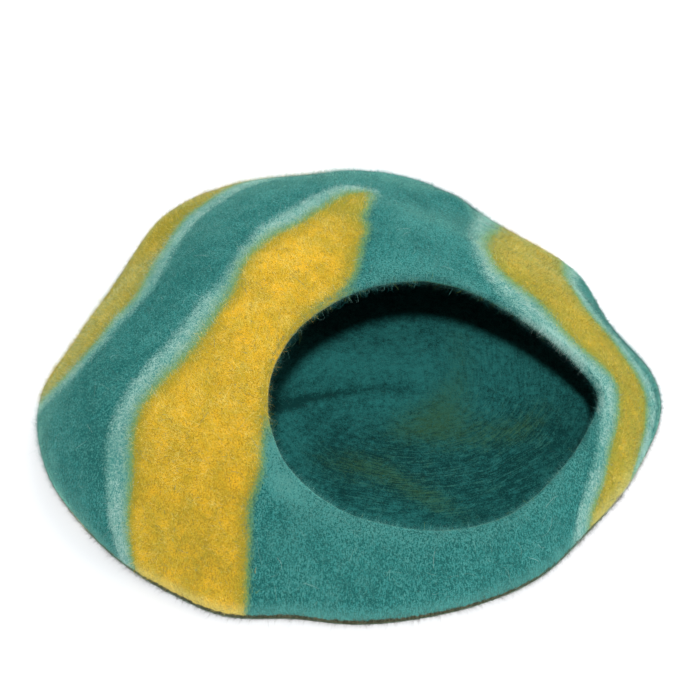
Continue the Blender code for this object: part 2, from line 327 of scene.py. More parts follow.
# Small knobs and dents of the dome. Columns: right, back and half width on the face, height (m).
KNOBS = (
    (0.352, 0.300, 0.055, 0.0062),
    (0.432, 0.285, 0.042, -0.0034),
    (0.700, 0.240, 0.090, 0.0042),
    (0.800, 0.020, 0.055, -0.0014),
    (-0.392, 0.250, 0.060, 0.0030),
)
# Creases of the dome, on the flat face. Columns: right and back of its start, of its end, half
# width (m), height (m, minus for a trough).
CREASES = (
    (0.15, 0.13, 0.40, -0.02, 0.010, 0.0012),
    (0.20, 0.20, 0.36, 0.12, 0.012, -0.0010),
    (-0.62, -0.55, -0.34, -0.62, 0.016, -0.0010),
    (-0.10, -0.78, 0.20, -0.86, 0.014, -0.0009),
    (0.36, -0.80, 0.55, -0.66, 0.015, 0.0010),
    (-0.50, -0.25, -0.24, -0.02, 0.018, -0.0012),
    (0.60, 0.40, 0.30, 0.70, 0.020, 0.0014),
    (-0.40, 0.70, -0.05, 0.62, 0.020, -0.0012),
)
# Smooth random patterns. Columns: height, size of a patch (m), seed. First the unevenness of the
# felt all over, its crinkles inside, and how much the ripples sway.
LUMPS = ((0.0009, 0.050, 1), (0.0005, 0.022, 2), (0.00022, 0.009, 3), (0.00010, 0.005, 4))
CRINKLES = ((0.0006, 0.014, 5),)
CRINKLE_STRETCH = (1.0, 1.0, 0.6)  # under 1 draws them out along that axis
RIPPLE_SWAY = ((1.5, 0.030, 6),)
RIPPLE_MIDDLE = (0.118, 0.050)  # the felt of the right back wall is rippled about here (m)
RIPPLE_LENGTH = 0.016
RIPPLE_SLANT = 0.3
RIPPLE_HALF_WIDTH = 0.050
RIPPLE_HEIGHT = 0.0006
FOOT = (0.003, 0.016)  # the relief outside sets in between these heights, over a flat underside
INNER_RELIEF = 0.7  # share of the relief that the inside shows


# ---------------------------------------------------------------- shape of the cave


def unit(vector):
    """The vectors, each divided by its length."""
    return vector / np.linalg.norm(vector, axis=-1, keepdims=True)


def around(angle, table_angle, table_value):
    """Value at each angle of the closed curve through the table: cubic pieces whose slope at a row is
    that of the line through its two neighbours. Angles in degrees."""
    count = len(table_angle)
    turn = np.concatenate([table_angle[-2:] - 360, table_angle, table_angle[:3] + 360])
    value = np.concatenate([table_value[-2:], table_value, table_value[:3]])
    angle = np.asarray(angle) % 360
    row = np.clip(np.searchsorted(turn, angle, side="right") - 1, 1, count + 2)
    step = turn[row + 1] - turn[row]
    share = (angle - turn[row]) / step
    start = (value[row + 1] - value[row - 1]) / (turn[row + 1] - turn[row - 1]) * step
    end = (value[row + 2] - value[row]) / (turn[row + 2] - turn[row]) * step
    rise = value[row + 1] - value[row]
    cubic = (start + end - 2 * rise) * share + 3 * rise - 2 * start - end
    return value[row] + share * (start + share * cubic)


def edge_radius(azimuth):
    """Reach of the outer edge at each azimuth (degrees), with its slow waves."""
    reach = around(azimuth, SECTIONS[:, AZIMUTH], SECTIONS[:, REACH])
    for centre, half_width, out in EDGE_WAVES:
        off = (azimuth - centre + 180) % 360 - 180
        reach = reach + out * np.exp(-((off / half_width) ** 2))
    return reach


def inner_skin(a, b):
    """Inner face of the dome at face coordinates (a, b): with the distance from the middle as a
    quarter turn t, reach * sin(t) outward and cos(t) ** lean upward, plus the bulges. The crown shift
    fades out toward the edge."""
    azimuth = np.arctan2(b, a)
    quarter = np.hypot(a, b) * np.pi / 2
    low, high = np.sin(quarter), np.clip(np.cos(quarter), 0, 1)
    degrees = np.degrees(azimuth)
    reach = (edge_radius(degrees) - WALL) * low
    lean = around(degrees, SECTIONS[:, AZIMUTH], SECTIONS[:, LEAN])
    x = reach * np.cos(azimuth) + CROWN[0] * high
    y = reach * np.sin(azimuth) + CROWN[1] * high
    z = NOSE + (HEIGHT - NOSE - WALL) * high**lean
    point = np.stack([x, y, z], -1)
    out = np.stack([np.cos(azimuth) * low, np.sin(azimuth) * low, high], -1)
    for centre, place, across, along, height in BULGES:
        side, outward = np.sin(np.radians(centre)), np.cos(np.radians(centre))
        da, db = a - place * outward, b - place * side
        u = (db * outward - da * side) / across
        v = (da * outward + db * side) / along
        point = point + (height * np.exp(-(u**2) - v**2))[..., None] * out
    return point


def kept_inside(a, b, most):
    """(a, b), drawn in toward the middle where it is longer than most."""
    shrink = np.minimum(1, most / np.maximum(np.hypot(a, b), TINY))
    return a * shrink, b * shrink


def outer_skin(a, b):
    """Outer face of the dome: one wall thickness outside the inner face, along its normal, which is
    taken from a small step each way."""
    a_in, b_in = kept_inside(a, b, EDGE_PLACE)
    along_a = inner_skin(a_in + SLOPE_STEP, b_in) - inner_skin(a_in - SLOPE_STEP, b_in)
    along_b = inner_skin(a_in, b_in + SLOPE_STEP) - inner_skin(a_in, b_in - SLOPE_STEP)
    return inner_skin(a, b) + WALL * unit(np.cross(along_a, along_b))


def mouth_on_face(angle):
    """Face coordinates where the felt ends at each angle about the mouth (degrees): Newton steps until
    the outer face there lies on the mouth's outline, widened by the half wall of the rounded lip."""
    turn = np.radians(angle)
    reach = around(angle, MOUTH_EDGE[:, TURN], MOUTH_EDGE[:, SPAN]) + WALL / 2
    right, up = reach * np.cos(turn), reach * np.sin(turn)

    def miss(a, b):
        offset = outer_skin(a, b) - MOUTH_MIDDLE
        return offset[..., 0] - right, offset @ MOUTH_UP - up

    a, b = np.full_like(turn, MOUTH_START[0]), np.full_like(turn, MOUTH_START[1])
    for _ in range(NEWTON_STEPS):
        f, g = miss(a, b)
        f_a, g_a = (v - w for v, w in zip(miss(a + SLOPE_STEP, b), (f, g)))
        f_b, g_b = (v - w for v, w in zip(miss(a, b + SLOPE_STEP), (f, g)))
        scale = SLOPE_STEP / (f_a * g_b - f_b * g_a)
        move = kept_inside((f_b * g - f * g_b) * scale, (f * g_a - f_a * g) * scale, LONGEST_STEP)
        a, b = kept_inside(a + move[0], b + move[1], LARGEST_PLACE)
    return a, b


def face_lines(rings):
    """Face coordinates of the dome's rings, edge first: straight lines from the edge to the mouth,
    with the rings closer together near the edge."""
    angle = np.arange(RAYS) * 360.0 / RAYS
    end_a, end_b = mouth_on_face(angle)
    turn = np.radians(angle)
    mid_a, mid_b = end_a.mean(), end_b.mean()
    along = mid_a * np.cos(turn) + mid_b * np.sin(turn)
    far = np.sqrt(along**2 + 1 - mid_a**2 - mid_b**2) - along
    edge_a, edge_b = mid_a + far * np.cos(turn), mid_b + far * np.sin(turn)
    share = (np.arange(rings) / (rings - 1))[:, None] ** CROWDING
    return edge_a + (end_a - edge_a) * share, edge_b + (end_b - edge_b) * share


def lip(outer, inner):
    """Rings of the rounded lip: half a circle about the middle of the wall."""
    across = (outer[-1] - inner[-1]) / 2
    normal = unit(across)
    ahead = outer[-1] - outer[-2]
    ahead = unit(ahead - (ahead * normal).sum(-1, keepdims=True) * normal) * WALL / 2
    turn = np.pi * np.arange(1, LIP_RINGS + 1) / (LIP_RINGS + 1)
    middle = (outer[-1] + inner[-1]) / 2
    return [middle + across * np.cos(t) + ahead * np.sin(t) for t in turn]


def floor_height(x, y):
    """Height of the floor inside: one wall thickness, a bell-shaped swell, and the crease before it, a
    soft trough along a parabola that is deepest midway and runs out at both ends."""
    right = (x - SWELL_MIDDLE[0]) / SWELL_WIDTHS[0]
    back = (y - SWELL_MIDDLE[1]) / SWELL_WIDTHS[1]
    swell = SWELL_HEIGHT * np.exp(-(right**2) - back**2)
    off = y - CREASE_BEND[1] + CREASE_CURVE * (x - CREASE_BEND[0]) ** 2
    run_out = np.clip(1 - (x / CREASE_REACH) ** 2, 0, 1)
    return WALL + swell - CREASE_DEPTH * run_out * np.exp(-((off / CREASE_HALF_WIDTH) ** 2))


def turned_edge(a, b, radius, count):
    """Rings of a quarter circle about the middle of the fold, from level to straight down, at the
    azimuths of the face coordinates."""
    azimuth = np.arctan2(b, a)
    reach = edge_radius(np.degrees(azimuth)) - NOSE
    rings = []
    for t in np.pi / 2 * np.arange(1, count + 1) / count:
        out = reach + radius * np.cos(t)
        low = np.full_like(out, NOSE - radius * np.sin(t))
        rings.append(np.stack([out * np.cos(azimuth), out * np.sin(azimuth), low], -1))
    return rings


def disc(edge, count):
    """Rings of a flat disc inside its edge, from the middle outward."""
    return [edge * (k / count, k / count, 0) for k in range(1, count)]


def felt_grid():
    """All rings of the shell, the face coordinates of each point, and 1 outside, 0 inside: from the
    middle of the underside round the edge, over the dome, through the mouth and back along the
    inside to the middle of the floor."""
    a, b = face_lines(DOME_RINGS)
    a_in, b_in = face_lines(INNER_RINGS)
    outer, inner = outer_skin(a, b), inner_skin(a_in, b_in)
    nose = turned_edge(a[0], b[0], NOSE, NOSE_RINGS)
    corner = turned_edge(a_in[0], b_in[0], INNER_CORNER, CORNER_RINGS)
    flat, floor = disc(nose[-1], BASE_RINGS), disc(corner[-1], FLOOR_RINGS)[::-1]
    for ring in floor:
        ring[:, 2] = floor_height(ring[:, 0], ring[:, 1])
    lips = lip(outer, inner)
    rings = np.array(flat + nose[::-1] + list(outer) + lips + list(inner[::-1]) + corner + floor)
    past = [UNDER_PLACE] * len(flat)
    past += [1 + EDGE_SPREAD * k / NOSE_RINGS for k in range(NOSE_RINGS, 0, -1)]
    face = [(a[0] * k, b[0] * k) for k in past] + list(zip(a, b)) + [(a[-1], b[-1])] * LIP_RINGS
    face += list(zip(a_in[::-1], b_in[::-1])) + [(a_in[0], b_in[0])] * (len(corner) + len(floor))
    first_lip = len(past) + len(outer)
    fading = np.linspace(1, 0, LIP_RINGS + 2)[1:-1]
    outside = np.concatenate([np.ones(first_lip), fading, np.zeros(len(rings) - first_lip - LIP_RINGS)])
    return rings, np.array(face).transpose(1, 0, 2), np.repeat(outside[:, None], RAYS, 1)


# ---------------------------------------------------------------- marks and relief


def bells(a, b, rows):
    """Sum of round bells at each place: rows of right, back, half width, height."""
    total = np.zeros_like(a)
    for right, back, half_width, height in rows:
        total += height * np.exp(-((a - right) ** 2 + (b - back) ** 2) / half_width**2)
    return total


def soft_marks(x, y, rows):
    """Sum of long turned bells at each place: rows of right, back, half widths, turn, strength."""
    total = np.zeros_like(x)
    for right, back, across, along, turn, strength in rows:
        c, s = np.cos(np.radians(turn)), np.sin(np.radians(turn))
        u = ((x - right) * c + (y - back) * s) / across
        v = ((y - back) * c - (x - right) * s) / along
        total += strength * np.exp(-(u**2) - v**2)
    return total


def smooth(low, high, value):
    """0 below low, 1 above high, and a smooth step between them."""
    share = np.clip((value - low) / (high - low), 0, 1)
    return share * share * (3 - 2 * share)


def soft_noise(point, size, seed):
    """Smooth random value from -1 to 1 at each point: random numbers at the corners of a grid of this
    cell size, blended by a smooth step along each axis. A corner's number comes from its three whole
    coordinates, each times a large prime, mixed by shifts."""
    cell = point / size + seed * 17.37
    base = np.floor(cell)
    share = smooth(0, 1, cell - base)
    base = base.astype(np.int64)
    total = np.zeros(point.shape[:-1])
    for corner in itertools.product((0, 1), repeat=3):
        at = base + corner
        key = at[..., 0] * 73856093 ^ at[..., 1] * 19349663 ^ at[..., 2] * 83492791
        key = (key ^ (key >> 13)) * 1274126177 & 0xFFFFFFFF
        value = ((key ^ (key >> 16)) & 0xFFFF) / 32767.5 - 1
        total += value * np.where(corner, share, 1 - share).prod(-1)
    return total


def noises(point, rows):
    """Sum of smooth random patterns: rows of height, size of a patch, seed."""
    return sum(height * soft_noise(point, size, seed) for height, size, seed in rows)


def closed_curve(rows):
    """Points of the smooth closed curve through the rows, OUTLINE_STEPS for each: cubic pieces whose
    slope at a row is half the line between its neighbours."""
    before, here, after, later = (np.roll(rows, k, 0)[:, None, :] for k in (1, 0, -1, -2))
    share = (np.arange(OUTLINE_STEPS) / OUTLINE_STEPS)[None, :, None]
    start, end = (after - before) / 2, (later - here) / 2
    cubic = (start + end - 2 * (after - here)) * share + 3 * (after - here) - 2 * start - end
    return (here + share * (start + share * cubic)).reshape(-1, 2)


def depth_in(a, b, rows):
    """How far each face point lies inside the outline (m), minus outside it: the distance to its
    nearest short line, and the sign from how often a line to the right crosses the outline."""
    line = closed_curve(rows)
    step = np.roll(line, -1, 0) - line
    place = np.stack([a.ravel(), b.ravel()], -1)
    depth = []
    for part in np.array_split(place, max(1, len(place) // 4000)):
        off = part[:, None, :] - line
        share = np.clip((off * step).sum(-1) / (step**2).sum(-1), 0, 1)
        near = np.hypot(*np.moveaxis(off - share[..., None] * step, -1, 0)).min(-1)
        above = part[:, 1, None] > line[:, 1]
        crossed = above != np.roll(above, -1, 1)
        height = np.where(step[:, 1] == 0, TINY, step[:, 1])
        right = off[..., 0] < off[..., 1] / height * step[:, 0]
        inside = (crossed & right).sum(-1) % 2 == 1
        depth.append(np.where(inside, near, -near))
    return np.concatenate(depth).reshape(a.shape) * FACE_SCALE


def crease_height(a, b):
    """Height of the knobs and creases at face coordinates: bells, and lines that swell from nothing at
    their ends and fall off to both sides as a bell."""
    height = bells(a, b, KNOBS)
    for a0, b0, a1, b1, half_width, rise in CREASES:
        run = np.array([a1 - a0, b1 - b0])
        share = ((a - a0) * run[0] + (b - b0) * run[1]) / (run @ run)
        off = ((a - a0) * run[1] - (b - b0) * run[0]) / np.hypot(*run) * FACE_SCALE
        swell = np.clip(4 * share * (1 - share), 0, 1)
        height += rise * swell * np.exp(-((off / half_width) ** 2))
    return height


def grid_normals(rings):
    """Outward unit normals of the shell's grid, from the lines to the neighbours in both directions."""
    across = np.roll(rings, -1, 1) - np.roll(rings, 1, 1)
    return unit(np.cross(across, np.gradient(rings, axis=0)))


def felt_relief(rings, face, outside):
    """How far the felt stands proud of the plain shell: lumps all over, knobs and creases outside, and
    crinkles and a patch of ripples inside. It fades to nothing on the underside."""
    x, y = rings[..., 0] - RIPPLE_MIDDLE[0], rings[..., 1] - RIPPLE_MIDDLE[1]
    waves = np.sin(2 * np.pi * (x - RIPPLE_SLANT * y) / RIPPLE_LENGTH + noises(rings, RIPPLE_SWAY))
    ripples = RIPPLE_HEIGHT * waves * np.exp(-(x**2 + y**2) / RIPPLE_HALF_WIDTH**2)
    crinkles = noises(rings * CRINKLE_STRETCH, CRINKLES) + ripples
    proud = noises(rings, LUMPS) + outside * crease_height(*face) + (1 - outside) * crinkles
    return proud * np.where(outside > 0.99, smooth(*FOOT, rings[..., 2]), INNER_RELIEF)


class Felt:
    """The shell's points, faces and what is known at each point, kept for the pieces that grow on it."""

    def __init__(self):
        rings, face, outside = felt_grid()
        rings = rings + grid_normals(rings) * felt_relief(rings, face, outside)[..., None]
        poles = np.array([rings[0].mean(0), rings[-1].mean(0)])
        self.points = np.concatenate([rings.reshape(-1, 3), poles])
        low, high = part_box("felt_cave")
        flat = self.points[:, :2]
        self.shift = (flat.min(0) + flat.max(0) - low[:2] - high[:2]) / 2
        flat -= self.shift
        self.points[:, 2] = np.maximum(self.points[:, 2], 0)
        self.quads, self.fans = self.faces(len(rings))
        self.known = self.marks(rings, face, outside)

    @staticmethod
    def faces(count):
        """Quads between each ring and the next, and the fans of triangles that close both ends."""
        ring = np.arange(count - 1)[:, None] * RAYS
        ray = np.arange(RAYS)
        follow = (ray + 1) % RAYS
        quads = np.stack([ring + ray, ring + follow, ring + RAYS + follow, ring + RAYS + ray], -1)
        last, pole = (count - 1) * RAYS, np.full(RAYS, count * RAYS)
        under = np.stack([pole, follow, ray], -1)
        over = np.stack([pole + 1, last + ray, last + follow], -1)
        return quads.reshape(-1, 4), np.concatenate([under, over])

    def marks(self, rings, face, outside):
        """What is known at each point, by name: its depth in the stripes, and how strong each mark is."""
        stripes = np.array([depth_in(*face, rows) for rows in MUSTARD_OUTLINES])
        lip_ring = rings[np.abs(outside[:, 0] - 0.5).argmin()]
        x, y = rings[..., 0] - self.shift[0], rings[..., 1] - self.shift[1]
        known = {
            "mustard_depth": stripes.max(0),
            "aqua_depth": np.max([depth_in(*face, rows) for rows in AQUA_OUTLINES], 0),
            "moss": np.take(STRIPE_MOSS, stripes.argmax(0)) + bells(*face, MOSS_PLACES),
            "outside": outside,
            "pale": bells(*face, PAINTED_LIGHT_PLACES),
            "olive_haze": soft_marks(x, y, OLIVE_HAZE).clip(0, 1),
            "inside_tone": soft_marks(x, y, INSIDE_PAINTED_LIGHT),
            "combed": soft_marks(x, y, COMBED),
            "rippled": soft_marks(x, y, RIPPLED),
            "near_lip": np.exp(-(((rings - lip_ring) ** 2).sum(-1)) / LIP_PAINTED_LIGHT**2),
        }
        at_poles = {"mustard_depth": (-1.0, -1.0), "aqua_depth": (-1.0, -1.0), "outside": (1.0, 0.0)}
        return {name: np.append(value, at_poles.get(name, (0.0, 0.0))) for name, value in known.items()}

    def mouth_middle(self):
        """Middle of the mouth, moved as the shell was."""
        return MOUTH_MIDDLE - (*self.shift, 0.0)

    def mouth_angle(self, point):
        """Angle of points about the middle of the mouth, in the plane of its cut (degrees)."""
        off = point - self.mouth_middle()
        return np.degrees(np.arctan2(off @ MOUTH_UP, off[..., 0])) % 360

    def roots(self, count, density, rng):
        """Random places on the shell: triangles drawn by area times density, and a random point in
        each. Returns places, normals and what is known there."""
        tris = np.concatenate([self.quads[:, :3], self.quads[:, (0, 2, 3)]])
        corner = self.points[tris]
        cross = np.cross(corner[:, 1] - corner[:, 0], corner[:, 2] - corner[:, 0])
        weight = np.linalg.norm(cross, axis=-1) * density[tris].mean(1)
        chosen = rng.choice(len(tris), count, p=weight / weight.sum())
        u, v = rng.random((2, count))
        u, v = np.where(u + v > 1, (1 - u, 1 - v), (u, v))
        share = np.stack([1 - u - v, u, v], -1)
        place = (corner[chosen] * share[..., None]).sum(1)
        known = {k: (value[tris[chosen]] * share).sum(-1) for k, value in self.known.items()}
        return place, unit(cross[chosen]), known


@functools.cache
def felt():
    """The shell that every piece is made of or grows on, worked out once."""
    return Felt()


# ---------------------------------------------------------------- dyes

# Dyes of the wool: name, what it colours, colour as linear red, green and blue. The first table has
# the dyes of single fibres and of the felt, the second has two of the felt alone.
FIBRE_DYES = (
    ("teal_deep", "Darkest fibres of the teal wool", (0.009, 0.072, 0.066)),
    ("teal", "Main fibres of the teal wool", (0.022, 0.140, 0.130)),
    ("teal_pale", "Palest fibres of the teal wool", (0.072, 0.222, 0.198)),
    ("aqua_deep", "Darker fibres of the stripes' borders", (0.035, 0.165, 0.148)),
    ("aqua", "Pale fibres of the stripes' borders", (0.130, 0.280, 0.240)),
    ("frost", "Whitish fibres of the stripes' borders", (0.280, 0.415, 0.375)),
    ("moss", "Green fibres where teal and mustard mix", (0.170, 0.165, 0.018)),
    ("lichen", "Green fibres along the stripes' edges", (0.120, 0.205, 0.055)),
    ("mustard_deep", "Darker fibres of the stripes", (0.270, 0.170, 0.012)),
    ("amber", "Orange fibres of the stripes", (0.640, 0.350, 0.014)),
    ("mustard", "Main fibres of the stripes", (0.520, 0.350, 0.024)),
    ("straw", "Palest fibres of the stripes", (0.620, 0.510, 0.130)),
    ("olive_deep", "Darker fibres of the underside", (0.022, 0.025, 0.014)),
    ("olive", "Main fibres of the underside", (0.066, 0.066, 0.040)),
    ("inside_deep", "Darkest fibres inside the cave", (0.003, 0.026, 0.025)),
    ("inside", "Main fibres inside the cave", (0.008, 0.065, 0.061)),
    ("inside_light", "Palest felt inside the cave", (0.0155, 0.115, 0.108)),
    ("inside_pale", "Strands that catch the light inside", (0.030, 0.145, 0.132)),
    ("inside_olive", "Olive fibres that show through inside", (0.027, 0.062, 0.015)),
)
FELT_DYES = (
    ("teal_light", "Palest felt of the teal wool", (0.029, 0.174, 0.163)),
    # The next row is a painted highlight: the paler colour that the underside's edge takes where it is
    # painted lighter.
    ("fawn", "Palest felt of the underside's edge", (0.420, 0.360, 0.230)),
)
DYE = {name: slot for slot, (name, *_) in enumerate(FIBRE_DYES)}

# ---------------------------------------------------------------- shader nodes

OBJECT = 3  # output of a Texture Coordinate node
HEIGHT_PART = 2  # output of a Separate XYZ node
STREAK_TURNS = ((0.3, 0.9, 0.2), (1.2, 0.2, 1.9), (2.2, 1.1, 0.7))  # radians, no two alike
STREAK_STRETCH = (1.0, 1.0, 0.16)
STREAK_SCALE = 980.0
SPREAD = (0.30, 0.70)  # the part of a noise's range that is spread over 0 to 1

# Noises that mottle the wool. Columns: scale (1/m), detail, roughness.
GRAINS = {
    "mottle": (230.0, 2.5, 0.65),
    "grit": (1250.0, 1.0, 0.5),
    "cloud": (38.0, 2.0, 0.5),
    "curds": (115.0, 2.5, 0.6),
    "orange": (85.0, 2.5, 0.6),
}
RIPPLE_GRAIN = (520.0, 1.0, 0.5)
RIPPLE_TURN = (0.0, 0.0, -0.35)
RIPPLE_STRETCH = (1.0, 0.12, 0.25)
SHEEN_TINT = (0.50, 1.0, 0.72, 1.0)
BUMP = (0.55, 0.0006)  # strength, and height for 1 (m)


class Nodes:
    """Makes shader nodes in one tree. A value may be a socket, which is linked, or a constant."""

    def __init__(self, tree):
        self.tree = tree

    def give(self, socket, value):
        """Links or sets an input. None leaves it alone."""
        if isinstance(value, bpy.types.NodeSocket):
            self.tree.links.new(value, socket)
        elif socket.type == "RGBA" and value is not None:
            socket.default_value = (*tuple(value)[:3], 1.0)
        elif value is not None:
            socket.default_value = value

    def put(self, kind, *values, out=0, **settings):
        """A node of this kind, its inputs given in order and its properties by name. Returns one
        output, or all of them where out is None."""
        node = self.tree.nodes.new(kind)
        for name, value in settings.items():
            setattr(node, name, value)
        for socket, value in zip(node.inputs, values):
            self.give(socket, value)
        return node.outputs if out is None else node.outputs[out]

    def group(self, tree, **values):
        """A group in a material, with its inputs given by name. Returns its one output."""
        outputs = self.put("ShaderNodeGroup", out=None, node_tree=tree)
        for name, value in values.items():
            self.give(outputs[0].node.inputs[name], value)
        return outputs[0]

    def maths(self, operation, *values):
        """Result of one step of arithmetic."""
        return self.put("ShaderNodeMath", *values, operation=operation)

    def vector(self, operation, *values, out=0):
        """Result of one step of vector arithmetic."""
        return self.put("ShaderNodeVectorMath", *values, operation=operation, out=out)

    def times(self, value, factor):
        """The product."""
        return self.maths("MULTIPLY", value, factor)

    def rest(self, value):
        """What is left of 1."""
        return self.maths("SUBTRACT", 1.0, value)

    def add(self, *values):
        """The sum, added up from the first to the last."""
        return functools.reduce(lambda total, value: self.maths("ADD", total, value), values)

    def swing(self, value, size):
        """The value moved to lie about 0, times the size."""
        return self.times(self.maths("SUBTRACT", value, 0.5), size)

    def step(self, value, low, high):
        """0 below low, 1 above high, a smooth step between."""
        return self.put("ShaderNodeMapRange", value, low, high, 0.0, 1.0, interpolation_type="SMOOTHSTEP")

    def spread(self, value):
        """The middle of a noise's range, spread over 0 to 1."""
        return self.put("ShaderNodeMapRange", value, *SPREAD, 0.0, 1.0)

    def noise(self, vector, scale, detail, roughness, out=0):
        """Smooth noise about 0.5, or in colour from output 1."""
        return self.put("ShaderNodeTexNoise", vector, None, scale, detail, roughness, out=out)

    def mix(self, share, first, second):
        """First value where share is 0, second where it is 1."""
        return self.put("ShaderNodeMix", share, None, first, second)

    def blend(self, share, first, second):
        """First colour where share is 0, second where it is 1. Past these it stays at the end."""
        unused = [None] * 5
        return self.put("ShaderNodeMix", share, *unused, first, second, out=2, data_type="RGBA")

    def lay(self, under, over, value, low, high, most=1.0):
        """Lays a colour over another where the value steps up from low to high, at most by this share."""
        return self.blend(self.times(self.step(value, low, high), most), under, over)

    def known(self, name):
        """What is known at each point by this name."""
        return self.put("ShaderNodeAttribute", out=2, attribute_name=name)


def new_group(name, **inputs):
    """An empty shader group with these inputs and their defaults, None for a vector, and one output,
    Streaks. Returns the maker of its nodes, its inputs by name, and the socket that ends it."""
    tree = bpy.data.node_groups.new(name, "ShaderNodeTree")
    for label, default in inputs.items():
        kind = "NodeSocketVector" if default is None else "NodeSocketFloat"
        socket = tree.interface.new_socket(label, in_out="INPUT", socket_type=kind)
        if default is not None:
            socket.default_value = default
    tree.interface.new_socket("Streaks", in_out="OUTPUT", socket_type="NodeSocketFloat")
    nodes = Nodes(tree)
    result = tree.nodes.new("NodeGroupOutput").inputs["Streaks"]
    return nodes, nodes.put("NodeGroupInput", out=None), result


def streak_group():
    """Short fibres felted in many directions: three noises, each drawn out along its own line, and
    a slow noise that lets one or another of them win. Puts out 0 to 1."""
    nodes, given, result = new_group("felted_fibres", Vector=None, Scale=500.0)
    streaks = []
    for k, turn in enumerate(STREAK_TURNS):
        shift = (k * 3.1, k * 1.7, 0.0)
        turned = nodes.put("ShaderNodeMapping", given["Vector"], shift, turn, STREAK_STRETCH)
        streaks.append(nodes.noise(turned, given["Scale"], 2.5, 0.6))
    slow = nodes.noise(given["Vector"], nodes.times(given["Scale"], 0.22), 1.0, 0.5, out=1)
    red, green, _ = nodes.put("ShaderNodeSeparateColor", slow, out=None)
    one = nodes.mix(nodes.step(red, 0.42, 0.58), streaks[0], streaks[1])
    two = nodes.mix(nodes.step(green, 0.42, 0.58), one, streaks[2])
    nodes.give(result, nodes.spread(two))
    return nodes.tree


def swirl_group():
    """Fibres drawn round one place: noise over the distance from it, fine, and over its direction,
    coarse, taken as a point on a circle so that it closes on itself. It fades out at the place."""
    nodes, given, result = new_group("swirled_fibres", Vector=None, Fineness=780.0, Turns=7.0)
    off = nodes.vector("SUBTRACT", given["Vector"], SWIRL_MIDDLE)
    level = nodes.vector("MULTIPLY", off, (1.0, 1.0, 0.0))
    distance = nodes.vector("LENGTH", level, out=1)
    up = nodes.put("ShaderNodeSeparateXYZ", off, out=HEIGHT_PART)
    bend = nodes.noise(given["Vector"], 22.0, 1.0, 0.5)
    reach = nodes.add(distance, nodes.times(up, 0.8), nodes.times(bend, 0.008))
    way = nodes.put("ShaderNodeSeparateXYZ", nodes.vector("NORMALIZE", level), out=None)
    coarse = [nodes.times(part, given["Turns"]) for part in way[:2]]
    place = nodes.put("ShaderNodeCombineXYZ", nodes.times(reach, given["Fineness"]), *coarse)
    streaks = nodes.spread(nodes.noise(place, 1.0, 3.0, 0.6))
    nodes.give(result, nodes.mix(nodes.step(distance, 0.015, 0.060), 0.5, streaks))
    return nodes.tree


